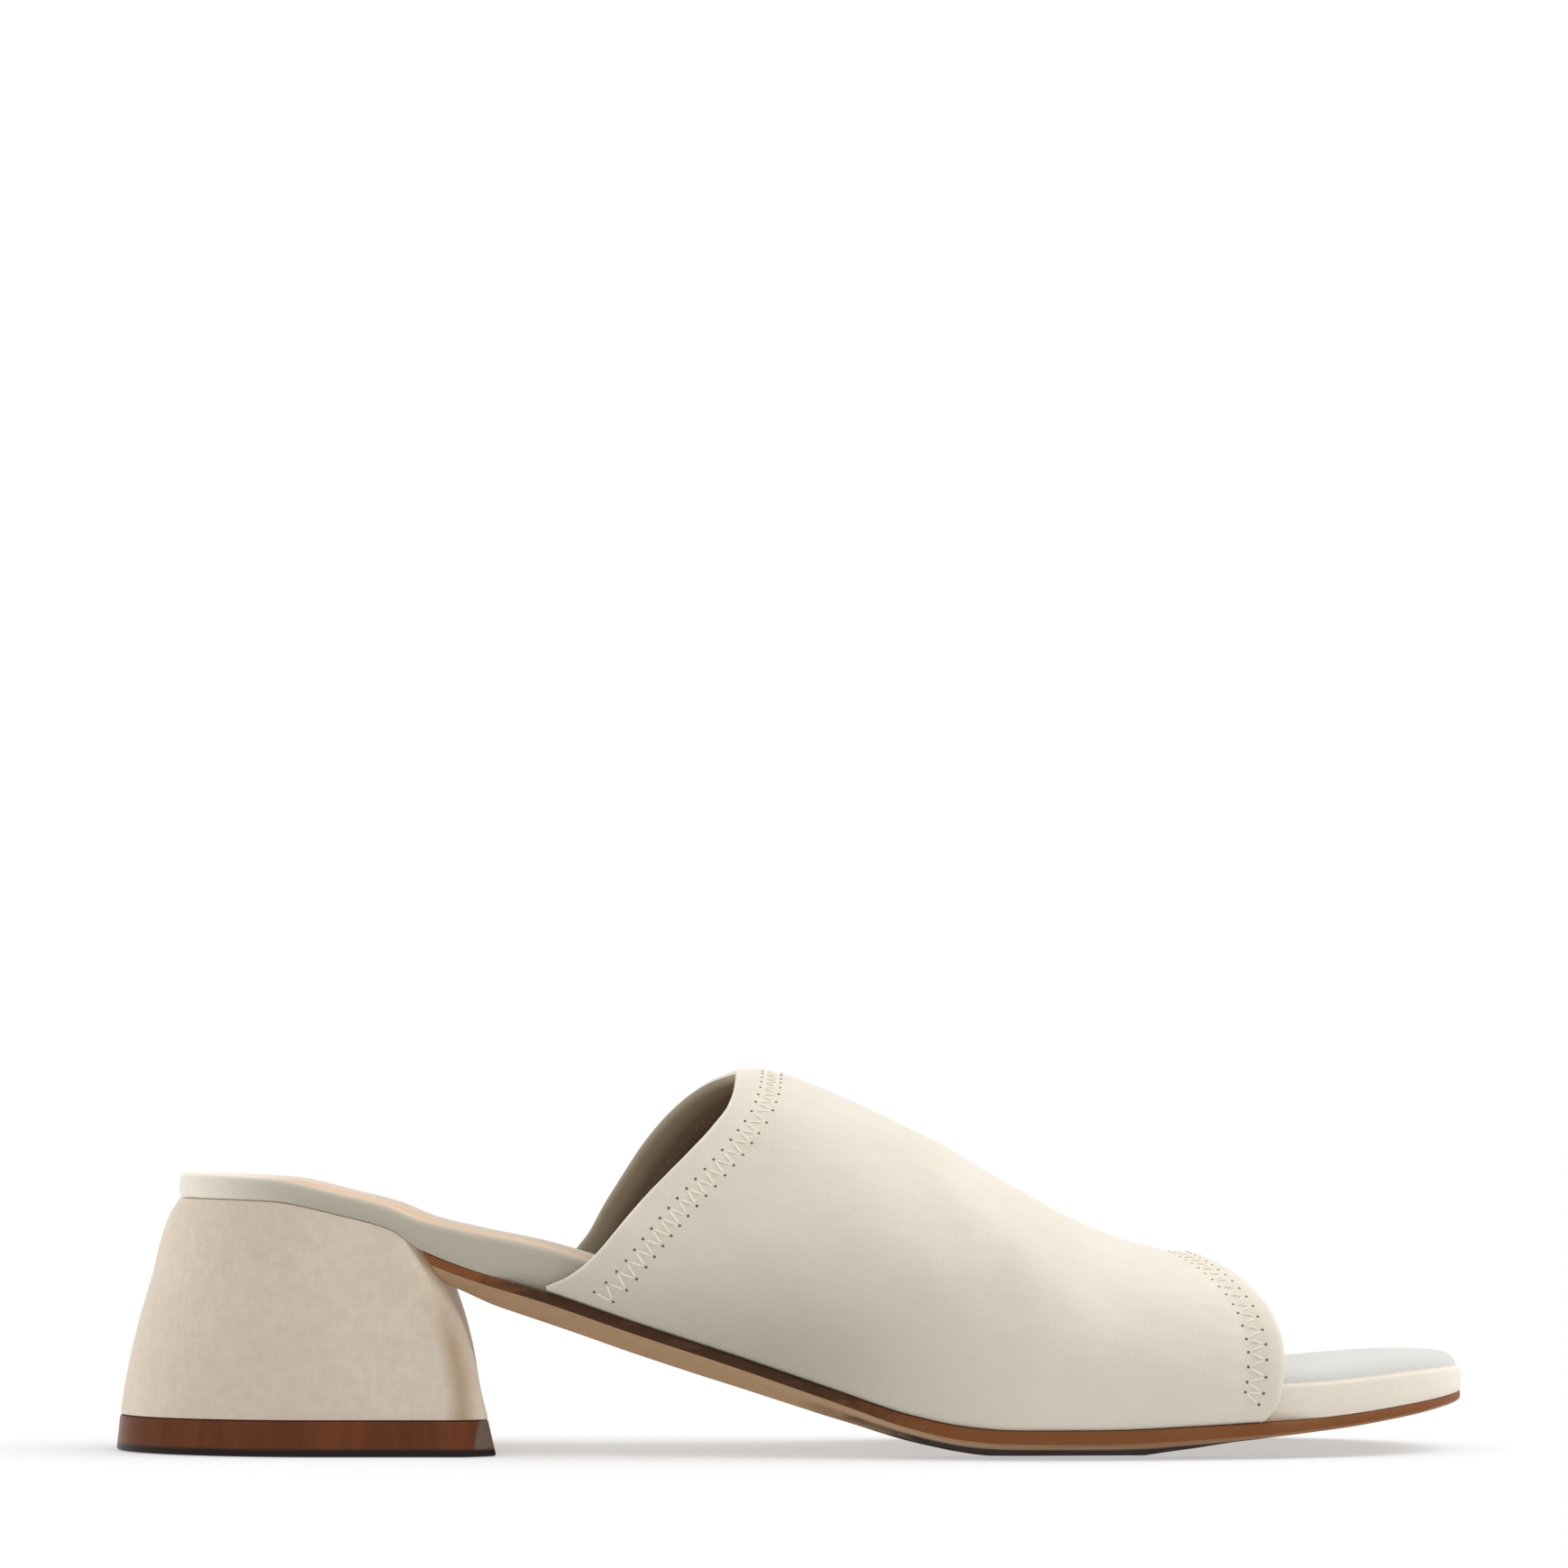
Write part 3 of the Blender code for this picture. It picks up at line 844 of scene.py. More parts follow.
class Shader(NodeBuilder):
    """A node material under construction."""

    def __init__(self, name: str) -> None:
        """Start from a plain Principled shader.

        Args:
            name: Name of the material.
        """
        self.material = bpy.data.materials.new(name)
        self.material.use_nodes = True
        self.tree = self.material.node_tree
        self.surface = self.tree.nodes["Principled BSDF"]

    def place(self, stretch: Colour) -> bpy.types.NodeSocket:
        """Object coordinates in metres.

        Args:
            stretch: Factor along each axis.

        Returns:
            The coordinates.
        """
        coords = self.node("ShaderNodeTexCoord")
        inputs = {"Vector": coords.outputs["Object"], "Scale": stretch}
        return self.node("ShaderNodeMapping", {}, inputs).outputs["Vector"]

    def noise(
        self, scale: float, detail: float, stretch: Colour = (1.0, 1.0, 1.0)
    ) -> Signal:
        """Noise from 0 to 1 on Object coordinates.

        Args:
            scale: Features in a metre.
            detail: Octaves.
            stretch: Share of the scale along each axis.

        Returns:
            The noise.
        """
        node = self.node(
            "ShaderNodeTexNoise",
            {},
            {"Vector": self.place(stretch), "Scale": scale, "Detail": detail, "Roughness": 0.55},
        )
        return Signal(self, node.outputs["Fac"])

    def axes(self) -> dict[str, Signal]:
        """Object coordinates in metres.

        Returns:
            A signal for each of X, Y and Z.
        """
        coords = self.node("ShaderNodeTexCoord")
        node = self.node("ShaderNodeSeparateXYZ", {}, {"Vector": coords.outputs["Object"]})
        return {axis: Signal(self, node.outputs[axis]) for axis in "XYZ"}

    def tone(self) -> Signal:
        """The piece's own float attribute."""
        node = self.node("ShaderNodeAttribute", {"attribute_name": "tone"})
        return Signal(self, node.outputs["Fac"])

    def mix(self, factor: Signal, first: object, second: object) -> bpy.types.NodeSocket:
        """Blend two colours.

        Args:
            factor: 0 for the first, 1 for the second.
            first: A colour or socket.
            second: A colour or socket.

        Returns:
            The blended colour.
        """
        # The names of a Mix node's sockets repeat, so its colours go by number.
        colours = {0: factor, 6: first, 7: second}
        return self.node("ShaderNodeMix", {"data_type": "RGBA"}, colours).outputs[2]

    def bump(
        self, height: Signal, depth: float, before: bpy.types.NodeSocket | None = None
    ) -> bpy.types.NodeSocket:
        """A bump of a real depth.

        Args:
            height: Height from 0 to 1.
            depth: Depth in metres.
            before: An earlier bump's normal.

        Returns:
            The normal.
        """
        inputs = {"Height": height, "Distance": depth, "Strength": 1.0}
        if before is not None:
            inputs["Normal"] = before
        return self.node("ShaderNodeBump", {}, inputs).outputs["Normal"]

    def finish(self, **inputs: object) -> bpy.types.Material:
        """Set the shader's sockets and hand over the material.

        Args:
            inputs: Values or links by socket name, with _ for a space.

        Returns:
            The material.
        """
        for key, value in inputs.items():
            self.feed(self.surface.inputs[key.replace("_", " ")], value)
        return self.material


class Shade(NamedTuple):
    """Where painted shade darkens a nubuck, along the shoe and up from the floor."""

    rear: Span
    front: Span
    height: Span


@dataclass(frozen=True)
class Nubuck:
    """Buffed leather: a short nap that scatters light, with soft clouds of tone and painted shade.
    """

    name: str
    colour: Colour
    cloud: Colour
    speck: Colour
    # Colour of the painted shade, mixed in over a zone along the shoe and up from the floor.
    painted_shade: Colour
    shade: Shade
    # A lighter colour for the top behind the crown: a painted highlight.
    rim: Colour | None = None
    crown: Colour | None = None
    crown_start: Span = (0.050, 0.070)
    crown_tone: Span = (0.35, 0.65)
    nap_scale: float = 2600.0
    nap_depth: float = 0.00010
    roughness: float = 0.86
    sheen: float = 0.35

    def build(self) -> bpy.types.Material:
        """Make the material.

        Returns:
            The material. With a crown, the part where the attribute tone is 1 has the rim's
            colour behind, lighter as a painted highlight, and the crown's at the toe.
        """
        shader = Shader(self.name)
        clouds = shader.noise(38.0, 4.0).ramp(0.32, 0.68)
        brushed = shader.noise(260.0, 4.0, (0.45, 1.0, 1.0)).ramp(0.30, 0.70)
        nap = shader.noise(self.nap_scale, 3.0)
        specks = shader.noise(900.0, 2.0).ramp(0.62, 0.78)
        toned = shader.mix(clouds * 0.75, self.colour, self.cloud)
        marked = shader.mix(brushed * 0.30, toned, self.cloud)
        flecked = shader.mix(specks * 0.35, marked, self.speck)
        # Painted shade: darker over a stretch of the shoe's length and towards the floor.
        axes = shader.axes()
        along = axes["X"].ramp(*self.shade.rear) * axes["X"].ramp(*self.shade.front)
        shaded = along * axes["Z"].ramp(*self.shade.height)
        colour = shader.mix(shaded, flecked, self.painted_shade)
        if self.crown:
            # Painted highlight: the top is lighter behind the crown.
            top = shader.mix(axes["X"].ramp(*self.crown_start), self.rim, self.crown)
            colour = shader.mix(shader.tone().ramp(*self.crown_tone), colour, top)
        normal = shader.bump(nap, self.nap_depth)
        normal = shader.bump(brushed, self.nap_depth * 0.7, normal)
        return shader.finish(
            Base_Color=colour,
            Roughness=self.roughness + (nap - 0.5) * 0.16,
            Sheen_Weight=self.sheen,
            Sheen_Roughness=0.45,
            Specular_IOR_Level=0.25,
            Normal=normal,
        )


@dataclass(frozen=True)
class Lining:
    """Smooth lining leather with fine pores."""

    name: str
    colour: Colour
    worn: Colour
    edge: Colour | None = None
    pore_scale: float = 1500.0
    pore_depth: float = 0.00006
    roughness: float = 0.62

    def build(self) -> bpy.types.Material:
        """Make the material.

        Returns:
            The material, in the edge's colour where the attribute tone is 1 if it has one.
        """
        shader = Shader(self.name)
        clouds = shader.noise(60.0, 5.0).ramp(0.30, 0.70)
        pores = shader.noise(self.pore_scale, 4.0)
        normal = shader.bump(pores, self.pore_depth)
        colour = shader.mix(clouds, self.colour, self.worn)
        if self.edge:
            colour = shader.mix(shader.tone(), colour, self.edge)
        return shader.finish(
            Base_Color=colour,
            Roughness=self.roughness + (pores - 0.5) * 0.2,
            Normal=normal,
        )


@dataclass(frozen=True)
class HeelCover:
    """Nubuck pasted tightly over the block, so that its grain reads as a faint weave."""

    name: str
    colour: Colour
    cloud: Colour
    painted_shade: Colour
    base: float
    front: float
    lean: float
    height: float
    # Place and shape of the strip of painted shade behind the front corner.
    painted_shade_inset: float = 0.0028
    painted_shade_width: float = 0.0034
    painted_shade_curve: float = 1.8
    painted_shade_fade: Span = (0.85, 0.35)
    thread_scale: float = 1400.0
    thread_depth: float = 0.00005

    def painted_shade_strip(self, shader: Shader) -> Signal:
        """Painted shade: a darker strip that follows the front corner up the block.

        Args:
            shader: The material under construction.

        Returns:
            1 in the strip, easing to 0 beside it and towards the top.
        """
        axes = shader.axes()
        up = axes["Z"] - self.base
        climb = (up * (1.0 / self.height)).math("POWER", self.painted_shade_curve)
        behind = (self.front - climb * self.lean) - axes["X"]
        strip = behind.ramp(self.painted_shade_inset + self.painted_shade_width, self.painted_shade_inset)
        strip = strip * behind.ramp(self.painted_shade_inset - self.painted_shade_width, self.painted_shade_inset)
        return strip * up.ramp(*(share * self.height for share in self.painted_shade_fade))

    def build(self) -> bpy.types.Material:
        """Make the material.

        Returns:
            The material, with painted shade in a strip behind the front corner.
        """
        shader = Shader(self.name)
        strip = self.painted_shade_strip(shader)
        clouds = shader.noise(45.0, 5.0).ramp(0.30, 0.70)
        mottle = shader.noise(420.0, 4.0).ramp(0.35, 0.70)
        along = shader.noise(self.thread_scale, 2.0, (0.12, 1.0, 1.0))
        upright = shader.noise(self.thread_scale, 2.0, (1.0, 1.0, 0.12))
        weave = (along + upright) * 0.5
        toned = shader.mix(clouds * 0.25, self.colour, self.cloud)
        woven = shader.mix(weave.ramp(0.42, 0.66) * 0.30, toned, self.cloud)
        mottled = shader.mix(mottle * 0.35, woven, self.cloud)
        normal = shader.bump(weave, self.thread_depth)
        normal = shader.bump(mottle, self.thread_depth, normal)
        return shader.finish(
            # Painted shade in the strip behind the front corner.
            Base_Color=shader.mix(strip * 0.85, mottled, self.painted_shade),
            Roughness=0.80 + (weave - 0.5) * 0.12,
            Sheen_Weight=0.15,
            Specular_IOR_Level=0.3,
            Normal=normal,
        )


@dataclass(frozen=True)
class SoleLeather:
    """Dyed and burnished sole leather, with painted shade: band, bevel and tread each have a tone.
    """

    name: str
    band: Colour
    bevel: Colour
    forepart: Colour
    tread: Colour
    # Near-black colour of the painted shadow on the bevel under the forepart.
    hollow: Colour
    fibre_depth: float = 0.00006
    forepart_start: Span = (0.002, 0.024)
    seat_start: Span = (-0.049, -0.058)
    toe_lip_start: Span = (0.010, 0.060)
    edge_tone: Span = (0.42, 0.58)
    painted_shadow_tone: Span = (1.08, 1.20)
    matte_tone: Span = (1.05, 1.20)
    tread_tone: Span = (1.60, 1.80)

    def build(self) -> bpy.types.Material:
        """Make the material.

        Returns:
            The material. The attribute tone is 0 on the upright band, 1 on the bevel and 2 on
            the tread.
        """
        shader = Shader(self.name)
        tone = shader.tone()
        ahead = shader.axes()["X"]
        fibres = shader.noise(900.0, 4.0, (0.10, 1.0, 1.0))
        stain = shader.noise(120.0, 4.0).ramp(0.35, 0.70)
        forward = (ahead + (stain - 0.5) * 0.010).ramp(*self.forepart_start)
        rear = (ahead + (stain - 0.5) * 0.006).ramp(*self.seat_start)
        # The band is darker in the waist than at its ends: dark dye, deepened as painted shade
        # under the upper's overhang.
        band = shader.mix((forward + rear).math("MINIMUM", 1.0), self.band, self.forepart)
        # Painted shadow: the bevel inside the lip goes near black towards the toe.
        painted_shadow_mask = tone.ramp(*self.painted_shadow_tone)
        toe_lip = shader.mix(ahead.ramp(*self.toe_lip_start), self.bevel, self.forepart)
        front_lip = shader.mix(painted_shadow_mask, toe_lip, self.hollow)
        lip = shader.mix(forward * (painted_shadow_mask * 0.4 + 0.6), self.bevel, front_lip)
        edge = shader.mix((tone + (fibres - 0.5) * 0.10).ramp(*self.edge_tone), band, lip)
        whole = shader.mix(tone.ramp(*self.tread_tone), edge, self.tread)
        dark = tuple(0.55 * part for part in self.bevel)
        return shader.finish(
            Base_Color=shader.mix(fibres.ramp(0.50, 0.80) * 0.35, whole, dark),
            Roughness=0.50 + (stain - 0.5) * 0.16 + tone.ramp(*self.matte_tone) * 0.40,
            Specular_IOR_Level=0.14,
            Normal=shader.bump(fibres, self.fibre_depth),
        )


@dataclass(frozen=True)
class LiftRubber:
    """Hard glossy top lift with faint upright saw marks."""

    name: str
    colour: Colour
    streak: Colour
    # Colour of the painted shadow along the ground.
    painted_contact_shadow: Colour
    # Grey colour of the painted reflection on the front corner.
    painted_reflection: Colour
    painted_reflection_start: float
    painted_reflection_lean: float = 0.16
    painted_reflection_blur: float = 0.0009
    contact_shadow_height: Span = (0.0018, 0.0010)
    scratch_depth: float = 0.00002

    def build(self) -> bpy.types.Material:
        """Make the material.

        Returns:
            The material, with a grey painted reflection on the front corner and a dark line of
            painted shadow at the ground.
        """
        shader = Shader(self.name)
        streaks = shader.noise(170.0, 3.0, (1.0, 1.0, 0.05)).ramp(0.30, 0.72)
        fine = shader.noise(1800.0, 3.0)
        axes = shader.axes()
        # Painted shadow: a dark line at the ground along the lift's bottom edge.
        ground = axes["Z"].ramp(*self.contact_shadow_height)
        # Painted reflection: the front corner turns grey ahead of a leaning line.
        ahead = axes["X"] - axes["Z"] * self.painted_reflection_lean
        painted_reflection = ahead.ramp(self.painted_reflection_start, self.painted_reflection_start + self.painted_reflection_blur)
        side = shader.mix(painted_reflection, shader.mix(streaks, self.colour, self.streak), self.painted_reflection)
        return shader.finish(
            Base_Color=shader.mix(ground, side, self.painted_contact_shadow),
            Roughness=0.32 + (fine - 0.5) * 0.10,
            Specular_IOR_Level=0.14,
            Normal=shader.bump(fine, self.scratch_depth),
        )


@dataclass(frozen=True)
class Thread:
    """Waxed thread with a fine lay."""

    name: str
    colour: Colour
    shade: Colour
    lay_depth: float = 0.00005

    def build(self) -> bpy.types.Material:
        """Make the material.

        Returns:
            The material.
        """
        shader = Shader(self.name)
        lay = shader.noise(4200.0, 2.0)
        return shader.finish(
            Base_Color=shader.mix(lay.ramp(0.35, 0.70), self.colour, self.shade),
            Roughness=0.60 + (lay - 0.5) * 0.1,
            Sheen_Weight=0.2,
            Normal=shader.bump(lay, self.lay_depth),
        )


# The vamp


class Crease(NamedTuple):
    """A soft fold of the vamp between two places, each a station and a turn round the girth."""

    station: float
    turn: float
    end_station: float
    end_turn: float
    width: float
    height: float

    def rise(self, station: float, turn: float, length: float, girth: float) -> float:
        """How far the fold lifts the skin at a place.

        Args:
            station: The place's share of the footbed's length.
            turn: The place round the girth.
            length: Length of the footbed.
            girth: Length of a whole turn from the sole to the crest.

        Returns:
            The height in metres, below zero for a hollow.
        """
        along = Vector((
            (self.end_station - self.station) * length,
            (self.end_turn - self.turn) * girth,
        ))
        here = Vector(((station - self.station) * length, (turn - self.turn) * girth))
        share = here.dot(along) / along.length_squared
        off = (here - along * min(max(share, 0.0), 1.0)).length
        return self.height * bell(off / self.width)


class Ripple(NamedTuple):
    """A wave of the needle's pull round the girth: waves, start and share of the height."""

    pace: float
    start: float
    share: float


CREASES = (
    Crease(0.560, -0.34, 0.630, -0.66, 0.0080, -0.00045),
    Crease(0.610, -0.36, 0.690, -0.60, 0.0070, 0.00028),
    Crease(0.665, -0.34, 0.735, -0.56, 0.0060, -0.00026),
    Crease(0.480, -0.56, 0.600, -0.80, 0.0080, -0.00045),
    Crease(0.430, -0.62, 0.530, -0.90, 0.0060, 0.00028),
    Crease(0.700, -0.72, 0.780, -0.46, 0.0060, 0.00025),
    Crease(0.560, 0.36, 0.620, 0.66, 0.0080, -0.00045),
    Crease(0.610, 0.38, 0.690, 0.68, 0.0075, 0.00030),
    Crease(0.480, 0.54, 0.590, 0.80, 0.0080, -0.00035),
    Crease(0.700, 0.74, 0.780, 0.48, 0.0065, 0.00022),
)

RIPPLES = (Ripple(61.0, 1.3, 0.6), Ripple(97.0, 4.1, 0.4))


@dataclass
class Upper:
    """The vamp: outer face with soft creases, turned hems, wall and lining."""

    last: Last
    hem_wall: float = 0.0025
    hem_width: float = 0.0080
    lining_fade: float = 0.0042
    seam_near: float = 0.0038
    seam_far: float = 0.0074
    seam_bite: float = 0.00022
    hem_swell: float = 0.00028
    swell_share: float = 0.45
    bite_width: float = 1.15
    ripple_height: float = 0.00009
    ripple_reach: float = 0.0040
    girth_reach: float = 0.0820
    relief_fade: float = 0.10
    hem_fade: float = 0.12
    hem_ramp: float = 0.25
    tone_ramp: float = 0.4
    tuck_girth: float = 0.03
    sole_tuck: float = 0.0006
    rim_room: float = 0.42
    least_slant: float = 0.25
    rows: int = 128
    columns: int = 176
    rim_steps: int = 6
    turned_in: int = 3
    crowding: float = 0.55
    sharp_angle: float = 50.0

    def turns(self) -> list[float]:
        """Places round the girth, from the outer sole to the inner sole."""
        return [-1.0 + 2.0 * j / self.columns for j in range(self.columns + 1)]

    def crowded(self, i: int) -> float:
        """Share of the way along the vamp of a row, the rows being closer beside both hems."""
        share = i / self.rows
        return share - self.crowding * math.sin(2.0 * math.pi * share) / (2.0 * math.pi)

    def relief(self, s: float, turn: float, to_collar: float, to_toe: float) -> float:
        """How far the skin stands proud of the last.

        Args:
            s: Distance from the back.
            turn: Place round the girth.
            to_collar: Distance to the collar.
            to_toe: Distance to the toe opening.

        Returns:
            The height in metres, below zero for a hollow.
        """
        length = self.last.length
        height = 0.0
        for crease in CREASES:
            height += crease.rise(s / length, turn, length, self.girth_reach)
        fade = ease((1.0 - abs(turn)) / self.relief_fade)
        ripple = sum(math.sin(turn * wave.pace + wave.start) * wave.share for wave in RIPPLES)
        middle = (self.seam_near + self.seam_far) / 2
        reach = (self.seam_far - self.seam_near) / 2
        swell_at = self.seam_near * self.swell_share
        for edge in (to_collar, to_toe):
            swell = self.hem_swell * bell((edge - swell_at) / (self.seam_near - swell_at))
            bite = self.seam_bite * bell((edge - middle) / (reach * self.bite_width))
            pull = self.ripple_height * ripple * bell((edge - self.seam_far) / self.ripple_reach)
            height += fade * (swell - bite + pull)
        return height

    def make_sheets(self) -> None:
        """Work out the outer and inner faces as lines of points, girth by girth."""
        self.outer: list[list[Vector]] = []
        self.distances: list[list[float]] = []
        room = self.hem_wall * self.rim_room
        for turn in self.turns():
            start = self.last.rim_station(Rim.COLLAR, turn) + room
            end = self.last.rim_station(Rim.TOE, turn) - room
            places = [start + (end - start) * self.crowded(i) for i in range(self.rows + 1)]
            self.outer.append([self.last.vamp(s, turn) for s in places])
            self.distances.append(places)
        self.normals = self.face_normals(self.outer)
        self.inner = [self.press_line(j, turn) for j, turn in enumerate(self.turns())]

    def press_line(self, j: int, turn: float) -> list[Vector]:
        """Raise a girth line of the outer face by its relief, in place.

        Args:
            j: Number of the line.
            turn: Place round the girth.

        Returns:
            The line of the inner face, a wall further in.
        """
        girth = 1.0 - abs(turn)
        slant = self.slant(j)
        tuck = self.sole_tuck * max(0.0, 1.0 - girth / self.tuck_girth) ** 2
        inner_line = []
        for i, (point, normal) in enumerate(zip(self.outer[j], self.normals[j])):
            to_collar, to_toe = self.edge_distances(j, i, slant)
            rise = self.relief(self.distances[j][i], turn, to_collar, to_toe)
            point += normal * rise
            point -= normal * tuck
            nearest = min(to_collar, to_toe)
            hem = 1.0 - ease((nearest / self.hem_width - 1.0) / self.hem_ramp + 1.0)
            hem *= ease(girth / self.hem_fade)
            wall = self.last.wall + (self.hem_wall - self.last.wall) * hem - tuck
            inner_line.append(point - normal * (wall + max(rise, 0.0) * 0.5))
        return inner_line

    def edge_distances(self, j: int, i: int, slant: Span) -> Span:
        """Distances from a point to the collar and to the toe opening.

        Args:
            j: Number of the girth line.
            i: Number of the point on it.
            slant: The line's shares, from the method slant.

        Returns:
            The two distances, square to the edges.
        """
        point = self.outer[j][i]
        to_collar = (point - self.outer[j][0]).length * slant[0]
        to_toe = (point - self.outer[j][-1]).length * slant[1]
        return to_collar, to_toe

    def around(self, j: int, i: int) -> Vector:
        """Direction round the girth at a point of the outer face."""
        near, far = max(j - 1, 0), min(j + 1, self.columns)
        return (self.outer[far][i] - self.outer[near][i]).normalized()

    def slant(self, j: int) -> Span:
        """Shares that turn a distance along the foot into one square to each hemmed edge.

        Args:
            j: Number of the girth line.

        Returns:
            The share for the collar and the one for the toe opening.
        """
        shares = []
        for i, step in ((0, 1), (-1, -2)):
            ahead = (self.outer[j][step] - self.outer[j][i]).normalized()
            shares.append(max(self.least_slant, ahead.cross(self.around(j, i)).length))
        return shares[0], shares[1]

    def face_normals(self, sheet: list[list[Vector]]) -> list[list[Vector]]:
        """Outward normals of a sheet.

        Args:
            sheet: Lines of points, girth by girth.

        Returns:
            A normal for each point.
        """
        normals = []
        for j, line in enumerate(sheet):
            before = sheet[max(j - 1, 0)]
            after = sheet[min(j + 1, len(sheet) - 1)]
            row = []
            for i in range(len(line)):
                along = line[min(i + 1, len(line) - 1)] - line[max(i - 1, 0)]
                row.append(along.cross(after[i] - before[i]).normalized())
            normals.append(row)
        return normals

    def rim_points(self, j: int, i: int) -> list[Vector]:
        """The round edge of a hem.

        Args:
            j: Number of the girth line.
            i: 0 for the collar, -1 for the toe opening.

        Returns:
            Points from the outer face to the inner face, without the ends.
        """
        outer, inner = self.outer[j][i], self.inner[j][i]
        beside = self.outer[j][1 if i == 0 else -2]
        thick = outer - inner
        out = self.around(j, i).cross(thick).normalized()
        if out.dot(outer - beside) < 0.0:
            out = -out
        middle = (outer + inner) / 2
        points = []
        for step in range(1, self.rim_steps):
            angle = math.pi * step / self.rim_steps
            across = thick / 2 * math.cos(angle)
            points.append(middle + across + out * (thick.length / 2 * math.sin(angle)))
        return points

    def build(self) -> bpy.types.Object:
        """Make the hollow upper, closed all round its wall.

        Returns:
            The object, with the nubuck in slot 0 and the lining in slot 1.
        """
        self.make_sheets()
        grid = FaceGrid()
        lines = []
        for j in range(self.columns + 1):
            collar = self.rim_points(j, 0)
            toe = self.rim_points(j, -1)
            loop = [*self.outer[j], *toe, *reversed(self.inner[j]), *reversed(collar)]
            lines.append(grid.line(loop, self.loop_tones(j)))
        lining_start = self.rows + self.rim_steps
        lining_end = lining_start + self.rows
        lined = range(lining_start + self.turned_in, lining_end + self.rim_steps // 2)
        for near, far in zip(lines, lines[1:]):
            for i in range(len(near)):
                k = (i + 1) % len(near)
                grid.faces.append((near[i], near[k], far[k], far[i]))
                grid.slots.append(1 if i in lined else 0)
        for line in (lines[0], lines[-1]):
            back = [line[lining_end - i] for i in range(self.rows + 1)]
            grid.strip(line[: self.rows + 1], back)
            grid.faces.append(tuple(line[self.rows : lining_start + 1]))
            grid.faces.append(tuple(line[lining_end:] + line[:1]))
            grid.slots.extend((0, 0))
        return grid.build("nubuck_vamp", self.sharp_angle)

    def loop_tones(self, j: int) -> list[float]:
        """Tone round a girth line, 1 at the edges: wide outside, narrow on the lining.

        Args:
            j: Number of the girth line.

        Returns:
            The tone of each point of the loop.
        """
        outer = []
        inner = []
        slant = self.slant(j)
        for i in range(self.rows + 1):
            nearest = min(self.edge_distances(j, i, slant))
            outer.append(1.0 - ease((nearest / self.hem_width - 1.0) / self.tone_ramp + 1.0))
            inner.append(1.0 - ease(nearest / self.lining_fade))
        rim = [1.0] * (self.rim_steps - 1)
        return [*outer, *rim, *reversed(inner), *rim]

    def skin_tree(self, sheet: list[list[Vector]]) -> BVHTree:
        """A search tree over one face of the upper.

        Args:
            sheet: Lines of points, girth by girth.

        Returns:
            The tree.
        """
        points = [point for line in sheet for point in line]
        wide = self.rows + 1
        faces = []
        for j in range(self.columns):
            for i in range(self.rows):
                a = j * wide + i
                faces.append((a, a + 1, a + wide + 1, a + wide))
        return BVHTree.FromPolygons(points, faces)


# The seams


class ThreadStep(NamedTuple):
    """A point of a stitch: share of the way to the next hole, height in thread radii."""

    share: float
    lift: float


STITCH = (
    ThreadStep(0.00, -1.6),
    ThreadStep(0.20, -0.8),
    ThreadStep(0.32, 0.4),
    ThreadStep(0.50, 0.6),
    ThreadStep(0.68, 0.4),
    ThreadStep(0.80, -0.8),
)
THREAD_SIDES = 7
HOLE_SIDES = 10
HOLE_RINGS = 6


class Recipe(NodeBuilder):
    """A Geometry Nodes tree under construction."""

    def __init__(self, name: str, inputs: dict[str, str]) -> None:
        """Make the tree with its named inputs.

        Args:
            name: Name of the tree.
            inputs: Socket types by name, after the geometry.
        """
        self.tree = bpy.data.node_groups.new(name, "GeometryNodeTree")
        sockets = self.tree.interface
        sockets.new_socket("Geometry", in_out="INPUT", socket_type="NodeSocketGeometry")
        for label, kind in inputs.items():
            sockets.new_socket(label, in_out="INPUT", socket_type=kind)
        sockets.new_socket("Geometry", in_out="OUTPUT", socket_type="NodeSocketGeometry")
        self.inputs = self.tree.nodes.new("NodeGroupInput").outputs
        self.end = self.tree.nodes.new("NodeGroupOutput")

    def close(self, geometry: bpy.types.NodeSocket) -> bpy.types.NodeTree:
        """End in smooth shading, realized instances and the seam's material.

        Args:
            geometry: What the tree has made.

        Returns:
            The finished tree.
        """
        smooth = self.node("GeometryNodeSetShadeSmooth", {}, {0: geometry})
        real = self.node("GeometryNodeRealizeInstances", {}, {0: smooth.outputs[0]})
        inputs = {"Geometry": real.outputs[0], "Material": self.inputs["Material"]}
        dressed = self.node("GeometryNodeSetMaterial", {}, inputs)
        self.feed(self.end.inputs[0], dressed.outputs[0])
        return self.tree


def thread_recipe() -> bpy.types.NodeTree:
    """Turn a path of edges into a round thread.

    Returns:
        The tree.
    """
    inputs = {"Thread Radius": "NodeSocketFloat", "Material": "NodeSocketMaterial"}
    recipe = Recipe("thread", inputs)
    path = recipe.node("GeometryNodeMeshToCurve", {}, {"Mesh": recipe.inputs["Geometry"]})
    ring = recipe.node(
        "GeometryNodeCurvePrimitiveCircle",
        {"mode": "RADIUS"},
        {"Resolution": THREAD_SIDES, "Radius": recipe.inputs["Thread Radius"]},
    )
    tube = recipe.node(
        "GeometryNodeCurveToMesh",
        {},
        {"Curve": path.outputs[0], "Profile Curve": ring.outputs[0], "Fill Caps": True},
    )
    return recipe.close(tube.outputs[0])


